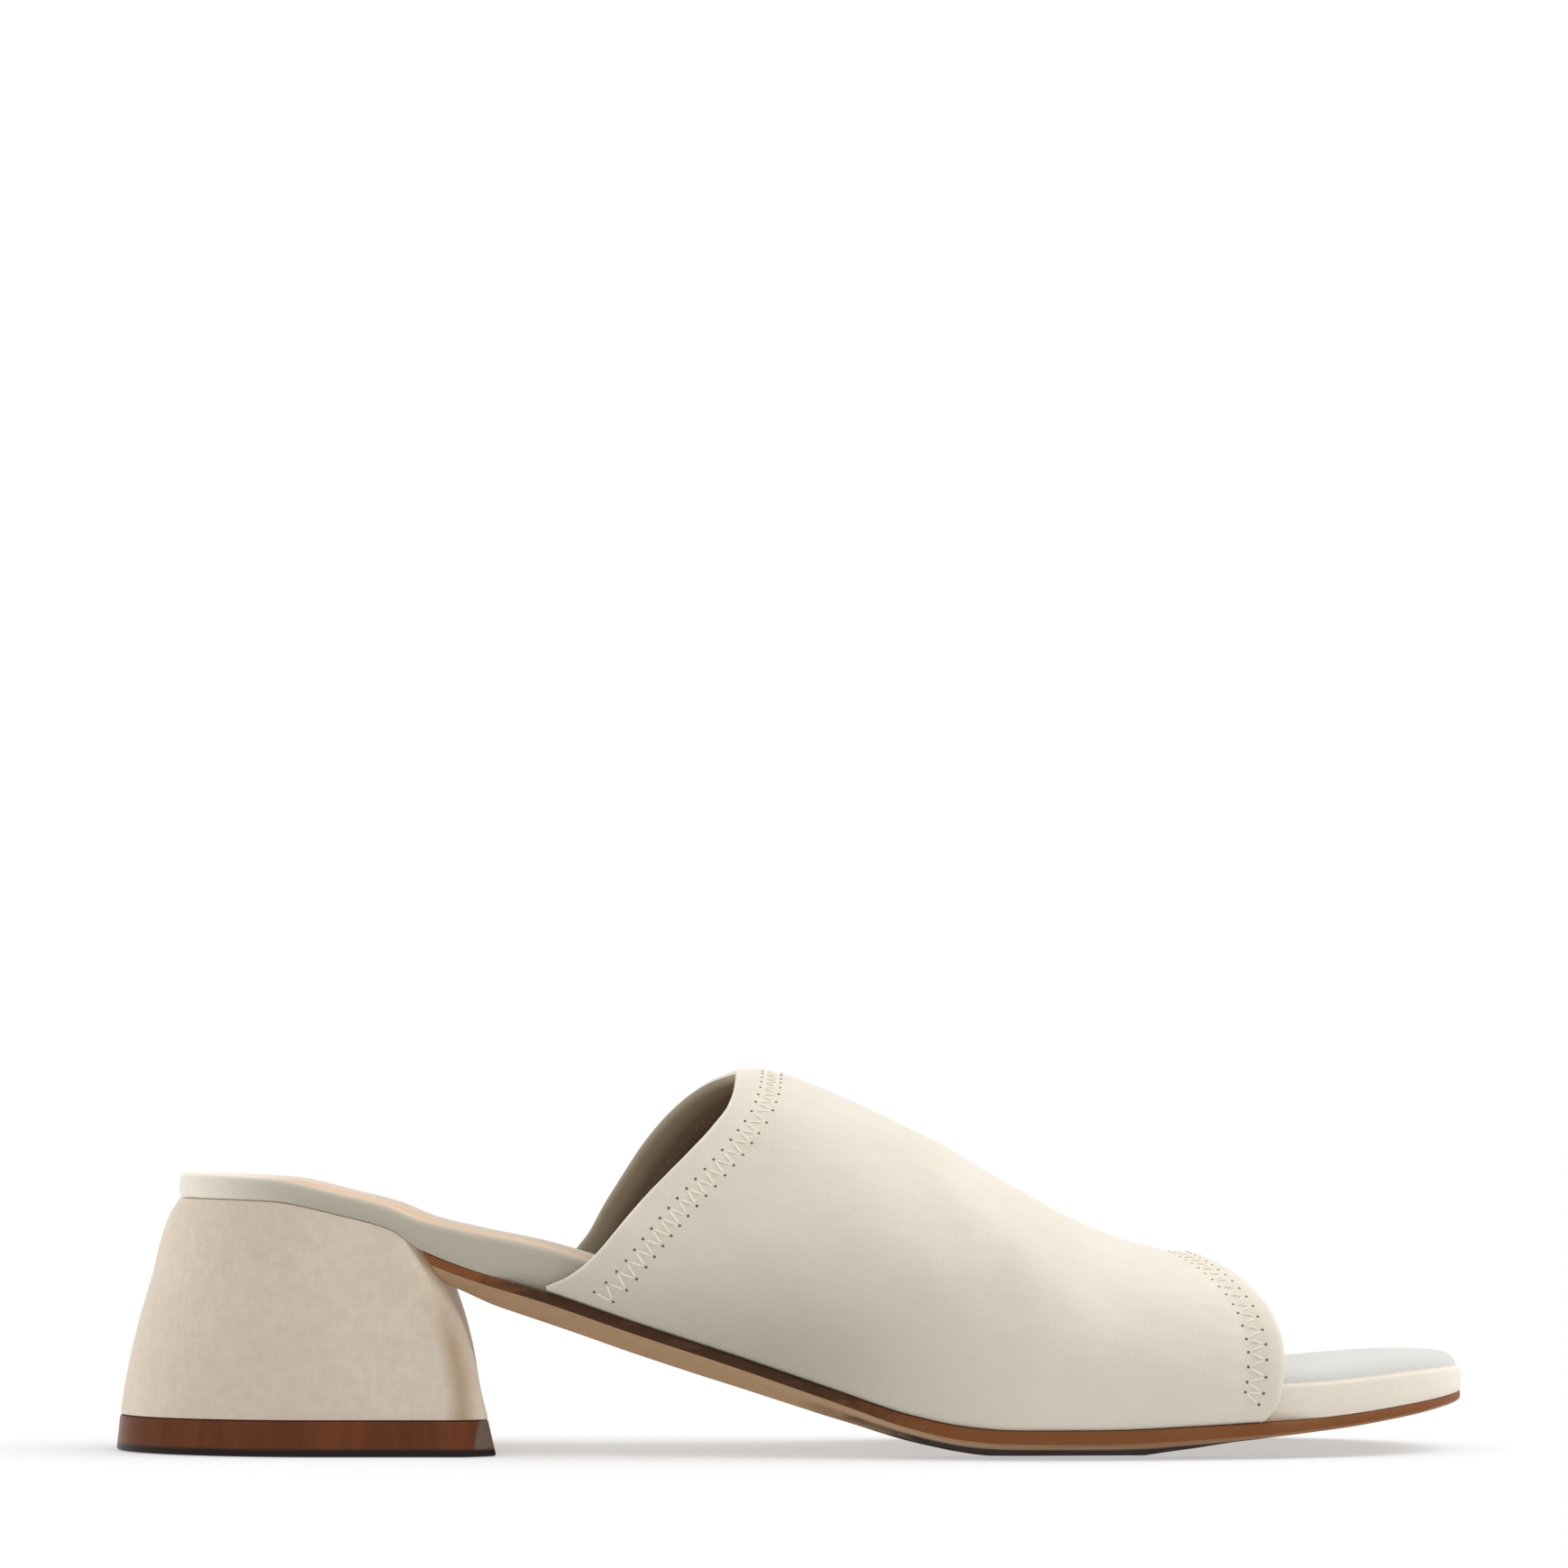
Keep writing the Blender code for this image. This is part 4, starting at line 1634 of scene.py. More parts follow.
def hole_recipe() -> bpy.types.NodeTree:
    """Set a low dark dimple at every point, square to the leather: painted shade of a hole.

    Returns:
        The tree.
    """
    inputs = {
        "Hole Radius": "NodeSocketFloat",
        "Hole Lift": "NodeSocketFloat",
        "Material": "NodeSocketMaterial",
    }
    recipe = Recipe("needle_holes", inputs)
    ball = recipe.node(
        "GeometryNodeMeshUVSphere",
        {},
        {"Segments": HOLE_SIDES, "Rings": HOLE_RINGS, "Radius": recipe.inputs["Hole Radius"]},
    )
    size = recipe.node(
        "ShaderNodeCombineXYZ", {}, {"X": 1.0, "Y": 1.0, "Z": recipe.inputs["Hole Lift"]}
    )
    flat = recipe.node(
        "GeometryNodeTransform", {}, {"Geometry": ball.outputs["Mesh"], "Scale": size.outputs[0]}
    )
    facing = recipe.node(
        "GeometryNodeInputNamedAttribute", {"data_type": "FLOAT_VECTOR"}, {"Name": "facing"}
    )
    turned = recipe.node(
        "FunctionNodeAlignRotationToVector", {"axis": "Z"}, {"Vector": facing.outputs["Attribute"]}
    )
    placed = recipe.node(
        "GeometryNodeInstanceOnPoints",
        {},
        {
            "Points": recipe.inputs["Geometry"],
            "Instance": flat.outputs[0],
            "Rotation": turned.outputs[0],
        },
    )
    return recipe.close(placed.outputs[0])


def grow(
    name: str,
    points: Sequence[Vector],
    edges: Sequence[tuple[int, int]],
    facing: Sequence[Vector],
    tree: bpy.types.NodeTree,
    values: dict[str, object],
) -> bpy.types.Object:
    """Run a tree on points and keep the result as a plain mesh.

    Args:
        name: Name of the piece.
        points: The points.
        edges: Edges between them.
        facing: The leather's normal at each point.
        tree: The Geometry Nodes tree.
        values: Inputs of the tree by name.

    Returns:
        The finished object.
    """
    seed = bpy.data.meshes.new(f"{name}_path")
    seed.from_pydata([tuple(point) for point in points], list(edges), [])
    attribute = seed.attributes.new("facing", "FLOAT_VECTOR", "POINT")
    attribute.data.foreach_set("vector", [part for normal in facing for part in normal])
    holder = link(f"{name}_path", seed)
    modifier = holder.modifiers.new("seam", "NODES")
    modifier.node_group = tree
    inputs = (item for item in tree.interface.items_tree if item.in_out == "INPUT")
    sockets = {item.name: item.identifier for item in inputs}
    for label, value in values.items():
        modifier[sockets[label]] = value
    graph = bpy.context.evaluated_depsgraph_get()
    data = bpy.data.meshes.new_from_object(holder.evaluated_get(graph))
    data.name = name
    holder.modifiers.remove(modifier)
    bpy.data.objects.remove(holder)
    return link(name, data)


@dataclass
class ZigzagSeam:
    """A zigzag seam beside a hemmed edge: needle holes in two rows and the thread between."""

    upper: Upper
    rim: Rim
    near: float
    far: float
    pitch: float
    first_turn: float
    last_turn: float
    thread_radius: float = 0.00016
    lining_radius: float = 0.00010
    hole_radius: float = 0.00028
    hole_lift: float = 0.30

    def rim_line(self) -> list[tuple[Vector, Vector, Vector]]:
        """Places along the edge, half a pitch apart.

        Returns:
            For each the edge point, the direction into the vamp and the normal.
        """
        i, ahead = (0, 1) if self.rim is Rim.COLLAR else (-1, -2)
        raw = []
        for j, turn in enumerate(self.upper.turns()):
            if self.first_turn <= turn <= self.last_turn:
                here = self.upper.outer[j][i]
                normal = self.upper.normals[j][i]
                into = self.upper.around(j, i).cross(normal)
                if into.dot(self.upper.outer[j][ahead] - here) < 0.0:
                    into = -into
                raw.append((here, into, normal))
        spaced = []
        travelled = 0.0
        for one, other in zip(raw, raw[1:]):
            length = (other[0] - one[0]).length
            while travelled <= length:
                t = travelled / length
                spaced.append(tuple(a.lerp(b, t) for a, b in zip(one, other)))
                travelled += self.pitch / 2
            travelled -= length
        return spaced

    def holes(self, tree: BVHTree, sign: float) -> tuple[list[Vector], list[Vector]]:
        """Needle holes, alternating between the two rows.

        Args:
            tree: The face of the leather that the seam lies on.
            sign: 1 outside the vamp, -1 inside.

        Returns:
            Their places and the face's normals there.
        """
        places = []
        normals = []
        for k, (edge, into, outwards) in enumerate(self.rim_line()):
            reach = self.near if k % 2 == 0 else self.far
            place, _, _, _ = tree.find_nearest(edge + into.normalized() * reach)
            _, normal, _, _ = tree.find_nearest(place)
            places.append(place)
            normals.append(normal if normal.dot(outwards) * sign > 0.0 else -normal)
        return places, normals

    def thread_path(
        self, tree: BVHTree, sign: float, radius: float
    ) -> tuple[list[Vector], list[Vector]]:
        """The thread: out of one hole, over the leather and down into the next.

        Args:
            tree: The face of the leather that the thread lies on.
            sign: 1 outside the vamp, -1 inside.
            radius: Radius of the thread.

        Returns:
            Points of the path and the leather's normals there.
        """
        places, normals = self.holes(tree, sign)
        points = []
        facing = []
        for k in range(len(places) - 1):
            for step in STITCH:
                bare = places[k].lerp(places[k + 1], step.share)
                on_skin, _, _, _ = tree.find_nearest(bare)
                normal = normals[k].lerp(normals[k + 1], step.share).normalized()
                points.append(on_skin + normal * (step.lift * radius))
                facing.append(normal)
        return points, facing

    def build(
        self, thread: bpy.types.Material, under_thread: bpy.types.Material, hole: bpy.types.Material
    ) -> None:
        """Make the holes and the thread on both faces of the vamp.

        Args:
            thread: Material of the thread outside.
            under_thread: Material of the thread on the lining.
            hole: Material of the needle holes.
        """
        outside = self.upper.skin_tree(self.upper.outer)
        inside = self.upper.skin_tree(self.upper.inner)
        thread_tree, hole_tree = thread_recipe(), hole_recipe()
        for face, tree, sign, radius, colour in (
            ("outer", outside, 1.0, self.thread_radius, thread),
            ("lining", inside, -1.0, self.lining_radius, under_thread),
        ):
            points, facing = self.thread_path(tree, sign, radius)
            edges = [(k, k + 1) for k in range(len(points) - 1)]
            values = {"Thread Radius": radius, "Material": colour}
            name = f"{self.rim.value}_{face}_thread"
            dress(grow(name, points, edges, facing, thread_tree, values), [colour], "nubuck")
        places, normals = self.holes(outside, 1.0)
        values = {"Hole Radius": self.hole_radius, "Hole Lift": self.hole_lift, "Material": hole}
        name = f"{self.rim.value}_needle_holes"
        dress(grow(name, places, [], normals, hole_tree, values), [hole], "nubuck")


# Bottom pieces


@dataclass
class Footbed:
    """The wrapped footbed and the half sock that lies in its crown."""

    last: Last
    edge_round: float = 0.0013
    toe_round: float = 0.0008
    edge_share: float = 0.6
    well_slope: float = 0.0005
    well_ramp: float = 0.0100
    sock_thickness: float = 0.0008
    sock_recess: float = 0.0007
    shoulder_drop: float = 0.0021
    shoulder_reach: float = 0.0085
    shoulder_least: float = 0.0002
    shoulder_start: float = 0.1700
    tip_share: float = 0.6
    tip_reach: float = 0.0300
    pad_rise: float = 0.0006
    shoulder_ramp: float = 0.0300
    sock_length: float = 0.1180
    sock_round: float = 0.0003
    barrel: float = 0.00018
    base_round: float = 0.0003
    base_lift: float = 0.00008
    base_tuck: float = 0.00012
    heel_end: float = 0.0480
    heel_closing: float = 0.35
    steps: int = 190
    round_steps: int = 8

    def well(self, s: float) -> float:
        """Depth of the well that takes the sock."""
        depth = self.sock_recess + self.sock_thickness + self.last.gap
        return depth * (1.0 - ease((s - self.sock_length) / self.well_ramp))

    def under(self, s: float) -> float:
        """Height of the underside.

        Args:
            s: Distance from the back.

        Returns:
            The height, with a fine gap over the heel that is closed over the outsole.
        """
        ahead = ease((s - self.heel_end) / self.well_ramp)
        closing = self.heel_closing + (1.0 - self.heel_closing) * ahead
        return self.last.footbed_under(s) - (self.last.gap - self.last.hairline) * closing

    def shoulder(self, s: float) -> float:
        """Share of the padded shoulder, which only the bare toe end has."""
        return ease((s - self.shoulder_start) / self.shoulder_ramp)

    def edge_top(self, s: float) -> float:
        """Height of the wrap's upper edge."""
        return self.last.footbed_top(s) - self.shoulder_drop * self.shoulder(s)

    def crown(self, s: float) -> float:
        """Height of the padded top."""
        return self.last.footbed_top(s) + self.pad_rise * self.shoulder(s)

    def shoulder_height(self, s: float, share: float) -> float:
        """Height on the padded shoulder, by share of the way from its edge to the crown."""
        low = self.edge_top(s)
        return low + (self.crown(s) - low) * share

    def shoulder_inset(self, s: float, share: float) -> float:
        """How far inside the edge a ring of the shoulder lies.

        Args:
            s: Distance from the back.
            share: Share of the shoulder's reach.

        Returns:
            The inset in metres.
        """
        tip = ease((s - self.last.length) / self.tip_reach + 1.0)
        reach = self.shoulder_reach * self.shoulder(s) * (1.0 - self.tip_share * tip)
        return self.rounding(s) + (self.shoulder_least + reach) * share

    def rounding(self, s: float) -> float:
        """Radius of the top edge.

        Args:
            s: Distance from the back.

        Returns:
            The radius in metres.
        """
        depth = self.last.footbed_top(s) - self.last.footbed_under(s)
        round_here = self.edge_round + (self.toe_round - self.edge_round) * self.shoulder(s)
        return min(round_here, self.edge_share * depth)

    def side_height(self, s: float, share: float) -> float:
        """Height on the wrap's side, by share of the way between its rounded edges."""
        low = self.under(s) + self.base_round
        return low + share * (self.edge_top(s) - self.rounding(s) - low)

    def quarter_turn(self) -> list[float]:
        """Angles from the start to the end of a rounded edge."""
        return [0.5 * math.pi * step / self.round_steps for step in range(self.round_steps + 1)]

    def side_rings(self) -> list[Ring]:
        """Rings from the underside to the end of the top edge.

        Returns:
            Their insets and heights.
        """
        rings: list[Ring] = [
            (lambda s: self.last.gap * 2, self.under),
            (lambda s: self.base_tuck, lambda s: self.under(s) + self.base_lift),
            (lambda s: 0.0, lambda s: self.under(s) + self.base_round),
        ]
        for share in (0.35, 0.75):
            rings.append((
                lambda s, share=share: -self.barrel * math.sin(math.pi * share),
                lambda s, share=share: self.side_height(s, share),
            ))
        for angle in self.quarter_turn():
            rings.append((
                lambda s, a=angle: self.rounding(s) * (1.0 - math.cos(a)),
                lambda s, a=angle: self.edge_top(s) - self.rounding(s) * (1.0 - math.sin(a)),
            ))
        return rings

    def top_rings(self) -> list[Ring]:
        """Rings over the padded shoulder and down into the sock's well.

        Returns:
            Their insets and heights.
        """
        rings: list[Ring] = []
        for angle in self.quarter_turn()[1:]:
            rings.append((
                lambda s, a=angle: self.shoulder_inset(s, 1.0 - math.cos(a)),
                lambda s, a=angle: self.shoulder_height(s, math.sin(a)),
            ))
        for share in (0.35, 0.70, 1.0):
            rings.append((
                lambda s, share=share: self.shoulder_inset(s, 1.0) + self.well_slope * share,
                lambda s, share=share: self.crown(s) - self.well(s) * ease(share),
            ))
        return rings

    def build_board(self) -> bpy.types.Object:
        """Make the wrapped footbed.

        Returns:
            The object, with the attribute tone 0 on its side and 1 on its top.
        """
        angles = self.last.angles(0.0, self.last.length, self.steps)
        side, top = self.side_rings(), self.top_rings()
        tones = [0.0] * len(side) + [1.0] * len(top)
        layers = self.last.stack(angles, side + top)
        return LayeredSolid("wrapped_footbed", layers, across=18, tones=tones).build()

    def build_sock(self) -> bpy.types.Object:
        """Make the half sock with its skived edge.

        Returns:
            The object.
        """
        last = self.last
        angles = last.angles(0.0, self.sock_length, self.steps // 2)
        low = self.sock_recess + self.sock_thickness
        inset = self.edge_round + self.shoulder_least + self.well_slope + last.gap
        rings: list[Ring] = []
        for rise, pull in ((0.0, 0.0), (0.6, 0.0), (0.85, 0.35), (1.0, 1.0)):
            rings.append((
                lambda s, pull=pull: inset + self.sock_round * pull,
                lambda s, rise=rise: last.footbed_top(s) - low + self.sock_thickness * rise,
            ))
        return LayeredSolid("half_sock", last.stack(angles, rings), across=14).build()


class HeelRow(NamedTuple):
    """Shares of the back's flare and of the breast's way in, by share of the heel's height."""

    height: float
    flare: float
    breast: float


class SoleRow(NamedTuple):
    """Shares of the outsole's thickness, band and bevel at a station."""

    station: float
    thickness: float
    band: float
    bevel: float


HEEL = (
    HeelRow(0.00, 1.00, 0.00),
    HeelRow(0.17, 0.90, 0.10),
    HeelRow(0.34, 0.77, 0.18),
    HeelRow(0.50, 0.62, 0.29),
    HeelRow(0.65, 0.46, 0.43),
    HeelRow(0.80, 0.33, 0.62),
    HeelRow(0.92, 0.18, 0.82),
    HeelRow(1.00, 0.00, 1.00),
)

OUTSOLE = (
    SoleRow(0.190, 0.66, 0.70, 0.30),
    SoleRow(0.225, 0.76, 0.74, 0.36),
    SoleRow(0.255, 0.92, 0.80, 0.40),
    SoleRow(0.300, 1.00, 0.84, 0.44),
    SoleRow(0.450, 1.02, 0.80, 0.56),
    SoleRow(0.530, 1.00, 0.84, 0.90),
    SoleRow(0.600, 1.00, 0.98, 1.50),
    SoleRow(0.720, 1.00, 1.02, 1.70),
    SoleRow(0.790, 0.85, 0.95, 1.60),
    SoleRow(0.830, 0.66, 0.90, 1.40),
    SoleRow(0.880, 0.54, 0.78, 1.10),
    SoleRow(0.950, 0.43, 0.66, 0.70),
    SoleRow(1.000, 0.30, 0.50, 0.45),
)


@dataclass
class Heel:
    """The covered block heel and its top lift."""

    last: Last
    lift_thickness: float = 0.0064
    lift_flare: float = 0.0006
    lift_front_flare: float = 0.0014
    lift_round: float = 0.0004
    base_width: float = 0.0580
    back_flare: float = 0.0110
    top_length: float = 0.0470
    base_length: float = 0.0684
    corner_length: float = 0.0054
    corner_depth: float = 0.0036
    breast_skew: float = 0.0035
    corner_straight: float = 0.55
    base_tuck: float = 0.0002
    layers: int = 64
    back_steps: int = 44
    side_steps: int = 26
    corner_steps: int = 12
    passes: int = 12

    def __post_init__(self) -> None:
        """Make the curves."""
        self.flare = curve_of(HEEL, "height", "flare")
        self.breast_share = curve_of(HEEL, "height", "breast")

    @property
    def base(self) -> float:
        """Height of the block's underside."""
        return self.lift_thickness + self.last.gap

    @property
    def back_share(self) -> float:
        """Share of the plan that the round back takes."""
        return self.last.heel_round / self.top_length

    @property
    def corner_share(self) -> float:
        """Share of the plan at which the front corners start."""
        return 1.0 - self.corner_length / self.base_length

    def breast(self, share: float, side: Side) -> float:
        """Distance from the back of the front face, by share of the heel's height."""
        base = self.base_length - self.back_flare - side.value * self.breast_skew / 2
        return base + (self.top_length - base) * self.breast_share(share)

    def breast_under(self, height: AlongFunction, side: Side) -> float:
        """Find where a line of heights meets the front face.

        Args:
            height: Height over the floor, by distance.
            side: Which side of the foot.

        Returns:
            The distance from the back.
        """
        s = self.top_length
        for _ in range(self.passes):
            s = self.breast((height(s) - self.base) / (self.last.sole_top(s) - self.base), side)
        return s

    def plan_shares(self) -> list[float]:
        """Places in the plan, closer together at the round back and the corners.

        Returns:
            Shares from 0 at the back to 1 at the front face.
        """
        back, corner = self.back_share, self.corner_share
        quarter = 0.5 * math.pi
        shares = [
            back * (1.0 - math.cos(quarter * i / self.back_steps)) for i in range(self.back_steps)
        ]
        shares += [back + (corner - back) * i / self.side_steps for i in range(self.side_steps)]
        shares += [
            corner + (1.0 - corner) * math.sin(quarter * i / self.corner_steps)
            for i in range(self.corner_steps + 1)
        ]
        return shares

    def corner_cut(self, station: float) -> float:
        """How much narrower the plan is at its front corner.

        Args:
            station: Share of the plan.

        Returns:
            The cut in metres, on each side.
        """
        turn = max(0.0, (station - self.corner_share) / (1.0 - self.corner_share))
        bent = 1.0 - self.corner_straight
        return self.corner_depth * (self.corner_straight * turn + bent * turn**3)

    def outline(self, share: float, grow_by: float, front: float) -> list[Pair]:
        """One layer of the heel or lift in the plan, at height 0.

        Args:
            share: Height in the heel, from 0 to 1.
            grow_by: How far outside the block.
            front: How far ahead of the block's front face.

        Returns:
            Pairs of points, before the frame's shift.
        """
        start = -self.back_flare * self.flare(share) - grow_by
        pairs = []
        for station in self.plan_shares():
            rounding = round_end(station, self.back_share)
            points = []
            for side in Side:
                s = start + (self.breast(share, side) + front - start) * station
                seat = self.last.half_width(self.top_length * station, side)
                base = self.base_width / 2 * rounding
                wide = seat + (base - seat) * self.flare(share)
                grown = wide + grow_by * rounding - self.corner_cut(station)
                points.append(Vector((s, side.value * (grown if wide > 0.0 else 0.0), 0.0)))
            pairs.append((points[0], points[1]))
        return pairs

    def build_block(self) -> bpy.types.Object:
        """Make the covered block.

        Returns:
            The object.
        """
        layers = []
        for i in range(self.layers + 1):
            share = math.sin(0.5 * math.pi * i / self.layers)
            tuck = -self.base_tuck if i == 0 else 0.0
            layer = []
            for pair in self.outline(share, tuck, tuck):
                raised = []
                for point in pair:
                    top = self.last.sole_top(point.x)
                    height = self.base + (top - self.base) * share
                    raised.append(point + Vector((0.0, 0.0, height)) + self.last.shift)
                layer.append((raised[0], raised[1]))
            layers.append(layer)
        return LayeredSolid("covered_heel", layers, across=20, sharp_angle=35.0).build()

    def build_lift(self) -> bpy.types.Object:
        """Make the top lift with its trimmed edges.

        Returns:
            The object.
        """
        layers = []
        rounding = self.lift_round
        for height, flared, pull in (
            (0.0, 1.0, 1.0),
            (rounding * 0.35, 1.0, 0.3),
            (rounding, 1.0, 0.0),
            (self.lift_thickness * 0.5, 0.5, 0.0),
            (self.lift_thickness - rounding * 0.6, 0.0, 0.0),
            (self.lift_thickness, 0.0, 0.6),
        ):
            lift = Vector((0.0, 0.0, height)) + self.last.shift
            grow_by = self.lift_flare * flared - rounding * pull
            front = self.lift_front_flare * flared - rounding * pull
            plan = self.outline(0.0, grow_by, front)
            layers.append([(outer + lift, inner + lift) for outer, inner in plan])
        return LayeredSolid("top_lift_trimmed", layers, across=16, sharp_angle=32.0).build()


class SoleStep(NamedTuple):
    """A layer of the outsole: height and inset by distance, and the attribute tone."""

    height: AlongFunction
    inset: AlongFunction
    tone: float


@dataclass
class Outsole:
    """The leather outsole: upright band, lip, bevel and flat tread."""

    last: Last
    heel: Heel
    thickness: float = 0.0057
    edge_band: float = 0.0024
    edge_lip: float = 0.0005
    bevel_inset: float = 0.0090
    break_drop: float = 0.66
    break_inset: float = 0.52
    tread_room: float = 0.0004
    top_round: float = 0.0002
    cover_ramp: float = 0.0120
    steps: int = 190

    def __post_init__(self) -> None:
        """Make the curves."""
        self.thickness_share = curve_of(OUTSOLE, "station", "thickness")
        self.band_share = curve_of(OUTSOLE, "station", "band")
        self.bevel_share = curve_of(OUTSOLE, "station", "bevel")

    def under(self, s: float) -> float:
        """Height of the underside, flat where it treads."""
        thickness = self.thickness * self.thickness_share(s / self.last.length)
        return max(0.0, self.last.sole_top(s) - thickness)

    def band_under(self, s: float) -> float:
        """Height of the upright band's lower edge."""
        return self.last.sole_top(s) - self.edge_band * self.band_share(s / self.last.length)

    def bevel(self, s: float) -> float:
        """How far the underside stands back from the edge."""
        return self.bevel_inset * self.bevel_share(s / self.last.length)

    def bevel_height(self, s: float, drop: float) -> float:
        """Height on the bevel, by share of its drop."""
        return self.band_under(s) - (self.band_under(s) - self.under(s)) * drop

    def lip_height(self, s: float, share: float) -> float:
        """Height between the break of the bevel and the lip, by share of the way up."""
        low = self.bevel_height(s, self.break_drop)
        return low * (1.0 - share) + (self.band_under(s) - self.edge_lip) * share

    def bevel_steps(self) -> list[SoleStep]:
        """Layers from the tread over the bevel to the lip.

        Returns:
            The layers, with the tone going from 2 on the tread to just over 1 at the lip.
        """
        lip = self.edge_lip
        steps = [
            SoleStep(self.under, lambda s: self.bevel(s) + self.tread_room, 2.0),
            SoleStep(self.under, self.bevel, 1.5),
        ]
        for share in (0.25, 0.5, 0.75):
            steps.append(SoleStep(
                lambda s, t=share: self.bevel_height(s, 1.0 + (self.break_drop - 1.0) * t),
                lambda s, t=share: self.bevel(s) * (1.0 + (self.break_inset - 1.0) * t),
                1.4,
            ))
        for share in (0.0, 0.3, 0.6, 0.85):
            steps.append(SoleStep(
                lambda s, t=share: self.lip_height(s, t),
                lambda s, t=share: self.bevel(s) * self.break_inset * (1.0 - t) + lip * t,
                1.3 - 0.3 * share,
            ))
        return steps

    def band_steps(self) -> list[SoleStep]:
        """Layers round the lip and up the band.

        Returns:
            The layers, with the tone going from 1 to 0.
        """
        lip = self.edge_lip
        steps = []
        for rise, back, tone in (
            (-1.0, 1.0, 1.0),
            (-0.45, 0.30, 1.0),
            (-0.10, 0.05, 0.8),
            (0.10, 0.0, 0.2),
            (0.40, 0.0, 0.0),
        ):
            steps.append(SoleStep(
                lambda s, rise=rise: self.band_under(s) + lip * rise,
                lambda s, back=back: lip * back,
                tone,
            ))
        return [
            *steps,
            SoleStep(lambda s: self.last.sole_top(s) - self.top_round, lambda s: 0.0, 0.0),
            SoleStep(self.last.sole_top, lambda s: self.top_round, 0.0),
        ]

    def layer(self, step: SoleStep) -> list[Pair]:
        """One layer, cut to the heel's front face.

        Args:
            step: Its height and inset.

        Returns:
            Pairs of points on the two sides.
        """
        last = self.last
        proud = last.wall + last.gap
        starts = [self.heel.breast_under(step.height, side) + last.hairline for side in Side]
        pairs = last.layer(
            last.angles(max(starts), last.length, self.steps),
            lambda s, side: last.cover(s, side, self.cover_ramp) * proud - step.inset(s),
            step.height,
        )
        for corner, start in zip(pairs[0], starts):
            corner.x = start + last.shift.x
            corner.z = step.height(start)
        return pairs

    def build(self) -> bpy.types.Object:
        """Make the outsole.

        Returns:
            The object, with the attribute tone for band, bevel and tread.
        """
        steps = self.bevel_steps() + self.band_steps()
        layers = [self.layer(step) for step in steps]
        tones = [step.tone for step in steps]
        return LayeredSolid(
            "leather_outsole", layers, across=16, tones=tones, sharp_angle=48.0
        ).build()


# The studio


class Lamp(NamedTuple):
    """A distant light: strength, width in degrees, way that it travels, and if it casts shadows."""

    name: str
    energy: float
    angle: float
    travel: Colour
    shadow: bool


LAMPS = (
    Lamp("overhead_softbox", 1.80, 50.0, (-0.55, 0.04, -0.83), True),
    Lamp("back_strip", 0.90, 40.0, (0.00, -0.78, -0.62), False),
    Lamp("heel_strip", 1.70, 40.0, (0.93, -0.36, -0.08), False),
    Lamp("toe_strip", 0.20, 40.0, (-0.88, -0.28, -0.38), False),
)


@dataclass
class Studio:
    """White floor, soft light from above and behind, and the camera at the photograph's angle."""

    camera_place: Colour = (-0.0010, -1.100, 0.0620)
    camera_rise: float = 3.26
    focal_length: float = 134.03
    sensor: float = 36.0
    floor_size: float = 30.0
    sky: float = 0.66
    floor_tone: float = 0.45
    floor_glow: float = 0.38
    floor_drop: float = 0.0001
    backdrop: float = 1.1
    far_clip: float = 100.0

    def build_camera(self) -> None:
        """Set the camera."""
        data = bpy.data.cameras.new("photo_view")
        data.lens = self.focal_length
        data.sensor_width = self.sensor
        data.clip_end = self.far_clip
        camera = link("photo_view", data)
        camera.location = self.camera_place
        camera.rotation_euler = (math.radians(90.0 + self.camera_rise), 0.0, 0.0)
        bpy.context.scene.camera = camera

    def build_floor(self) -> None:
        """Lay the white floor."""
        half = self.floor_size / 2
        plan = ((-half, -half), (half, -half), (half, half), (-half, half))
        data = bpy.data.meshes.new("white_floor")
        data.from_pydata([(x, y, -self.floor_drop) for x, y in plan], [], [(0, 1, 2, 3)])
        floor = link("white_floor", data)
        data.materials.append(Shader("white floor").finish(
            Base_Color=(self.floor_tone,) * 3,
            Emission_Color=(1.0, 1.0, 1.0),
            Emission_Strength=self.floor_glow,
            Roughness=0.9,
            Specular_IOR_Level=0.1,
        ))

    def build_light(self) -> None:
        """Hang the lights and set the bright surroundings."""
        for lamp in LAMPS:
            data = bpy.data.lights.new(lamp.name, "SUN")
            data.energy = lamp.energy
            data.angle = math.radians(lamp.angle)
            data.use_shadow = lamp.shadow
            light = link(lamp.name, data)
            light.visible_glossy = lamp.shadow
            light.rotation_euler = Vector(lamp.travel).to_track_quat("-Z", "Y").to_euler()
        world = bpy.data.worlds.new("white_room")
        bpy.context.scene.world = world
        world.use_nodes = True
        tree = world.node_tree
        room = tree.nodes["Background"]
        room.inputs["Color"].default_value = (1.0, 1.0, 1.0, 1.0)
        path = tree.nodes.new("ShaderNodeLightPath")
        level = tree.nodes.new("ShaderNodeMapRange")
        level.inputs["To Min"].default_value = self.sky
        level.inputs["To Max"].default_value = self.backdrop
        tree.links.new(path.outputs["Is Camera Ray"], level.inputs["Value"])
        tree.links.new(level.outputs["Result"], room.inputs["Strength"])
        bpy.context.scene.view_settings.view_transform = "Standard"
        bpy.context.scene.view_settings.look = "None"


# Colours

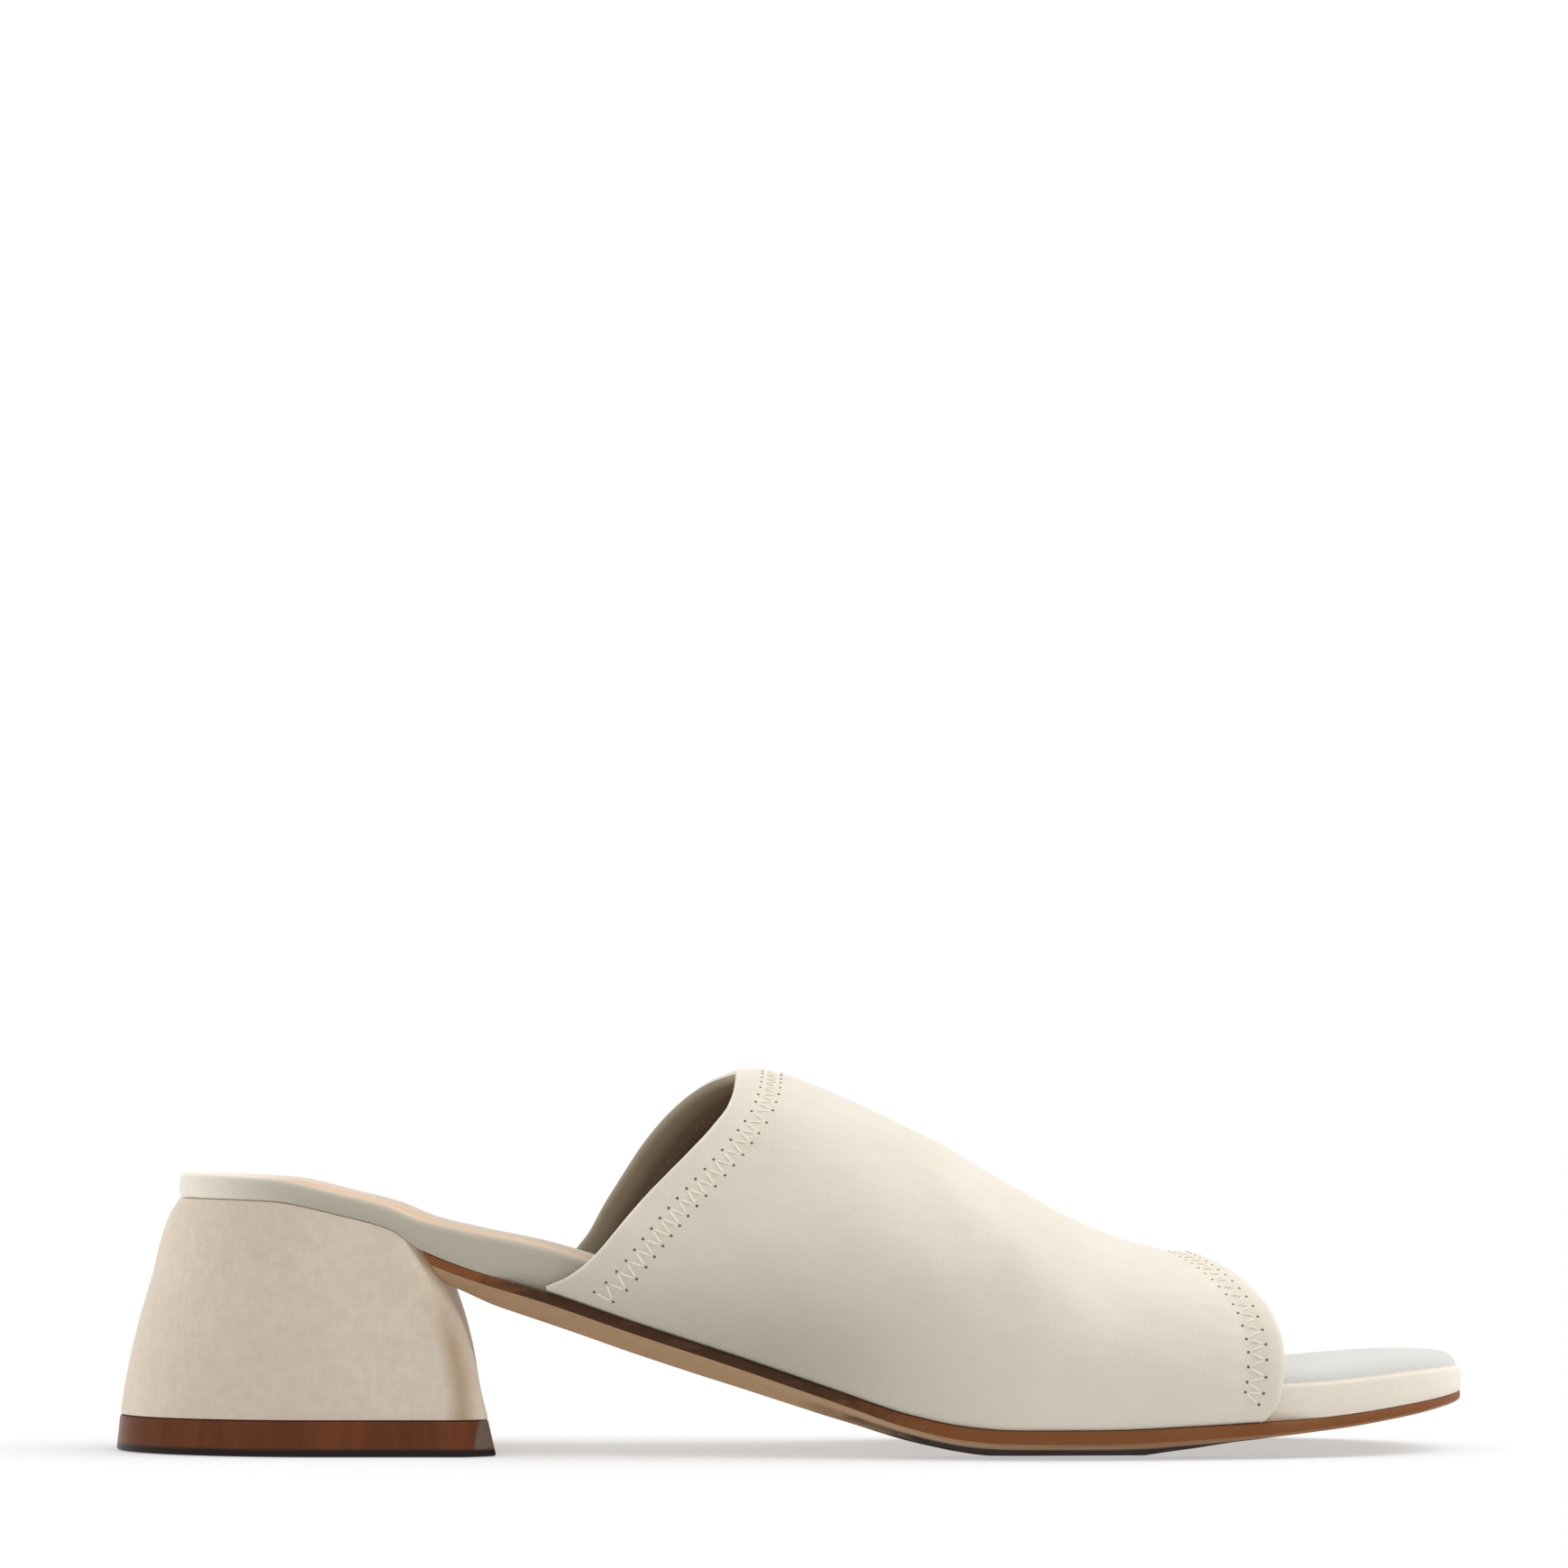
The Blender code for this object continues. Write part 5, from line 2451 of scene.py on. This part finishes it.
VAMP_NUBUCK = Nubuck(
    "vamp nubuck",
    colour=(0.72, 0.66, 0.56),
    cloud=(0.65, 0.60, 0.51),
    speck=(0.59, 0.53, 0.44),
    # Painted shade: the vamp darkens low down towards its back.
    painted_shade=(0.42, 0.385, 0.32),
    shade=Shade((-0.090, -0.070), (0.045, -0.008), (0.045, 0.014)),
)
WRAP_NUBUCK = Nubuck(
    "footbed nubuck",
    colour=(0.77, 0.70, 0.595),
    cloud=(0.70, 0.64, 0.545),
    speck=(0.62, 0.56, 0.47),
    # Painted shade: the wrap darkens from the seat to the ball.
    painted_shade=(0.44, 0.40, 0.325),
    shade=Shade((-0.118, -0.082), (0.060, 0.000), (0.200, 0.100)),
    # The lighter top behind the toe is a painted highlight.
    rim=(0.88, 0.84, 0.77),
    crown=(0.57, 0.565, 0.53),
)
LINING_LEATHER = Lining(
    "vamp lining",
    colour=(0.130, 0.078, 0.050),
    worn=(0.100, 0.062, 0.040),
    edge=(0.30, 0.265, 0.19),
)
SOCK_LEATHER = Lining("sock leather", colour=(0.62, 0.44, 0.29), worn=(0.54, 0.37, 0.235))
COVER_NUBUCK = HeelCover(
    "heel cover nubuck",
    colour=(0.66, 0.565, 0.455),
    cloud=(0.54, 0.45, 0.35),
    # The darker colour is painted shade behind the front corner.
    painted_shade=(0.36, 0.255, 0.155),
    base=0.0067,
    front=-0.0568,
    lean=0.0104,
    height=0.0340,
)
SOLE = SoleLeather(
    "outsole leather",
    # Dark edge dye, deepened as painted shade in the waist.
    band=(0.060, 0.024, 0.010),
    bevel=(0.375, 0.24, 0.135),
    forepart=(0.200, 0.070, 0.022),
    tread=(0.34, 0.22, 0.13),
    # The near-black colour is painted shadow under the forepart's edge.
    hollow=(0.024, 0.014, 0.009),
)
LIFT = LiftRubber(
    "lift rubber",
    colour=(0.100, 0.027, 0.008),
    streak=(0.150, 0.044, 0.014),
    # The dark colour is painted shadow along the ground.
    painted_contact_shadow=(0.016, 0.010, 0.008),
    # The grey is a painted reflection on the front corner.
    painted_reflection=(0.140, 0.095, 0.072),
    painted_reflection_start=-0.0582,
)
SEAM_THREAD = Thread("seam thread", colour=(0.85, 0.81, 0.68), shade=(0.76, 0.71, 0.58))
UNDER_THREAD = Thread("lining thread", colour=(0.17, 0.125, 0.09), shade=(0.13, 0.095, 0.07))
# The dark colour of the needle holes is painted shade.
HOLE_SHADE = Lining(
    "needle hole", colour=(0.150, 0.115, 0.080), worn=(0.110, 0.082, 0.058), roughness=0.9
)


def main() -> None:
    """Build the shoe's pieces in order, then the studio."""
    logging.basicConfig(level=logging.INFO)
    last = Last()
    upper = Upper(last)
    dress(upper.build(), [VAMP_NUBUCK.build(), LINING_LEATHER.build()], "nubuck", "upper")
    footbed = Footbed(last)
    dress(footbed.build_board(), [WRAP_NUBUCK.build()], "footbed_wrap", "footbed")
    dress(footbed.build_sock(), [SOCK_LEATHER.build()], "sock_leather", "sock")
    heel = Heel(last)
    dress(heel.build_block(), [COVER_NUBUCK.build()], "heel_cover", "heel")
    dress(heel.build_lift(), [LIFT.build()], "lift", "top_lift")
    outsole = Outsole(last, heel)
    dress(outsole.build(), [SOLE.build()], "sole_leather", "outsole")
    threads_and_hole = SEAM_THREAD.build(), UNDER_THREAD.build(), HOLE_SHADE.build()
    for rim, near, far, pitch, first_turn in (
        (Rim.COLLAR, 0.0037, 0.0073, 0.0025, -0.915),
        (Rim.TOE, 0.0023, 0.0056, 0.0032, -0.95),
    ):
        seam = ZigzagSeam(upper, rim, near, far, pitch, first_turn, last_turn=0.95)
        seam.build(*threads_and_hole)
    studio = Studio()
    studio.build_camera()
    studio.build_floor()
    studio.build_light()


if __name__ == "__main__":
    main()
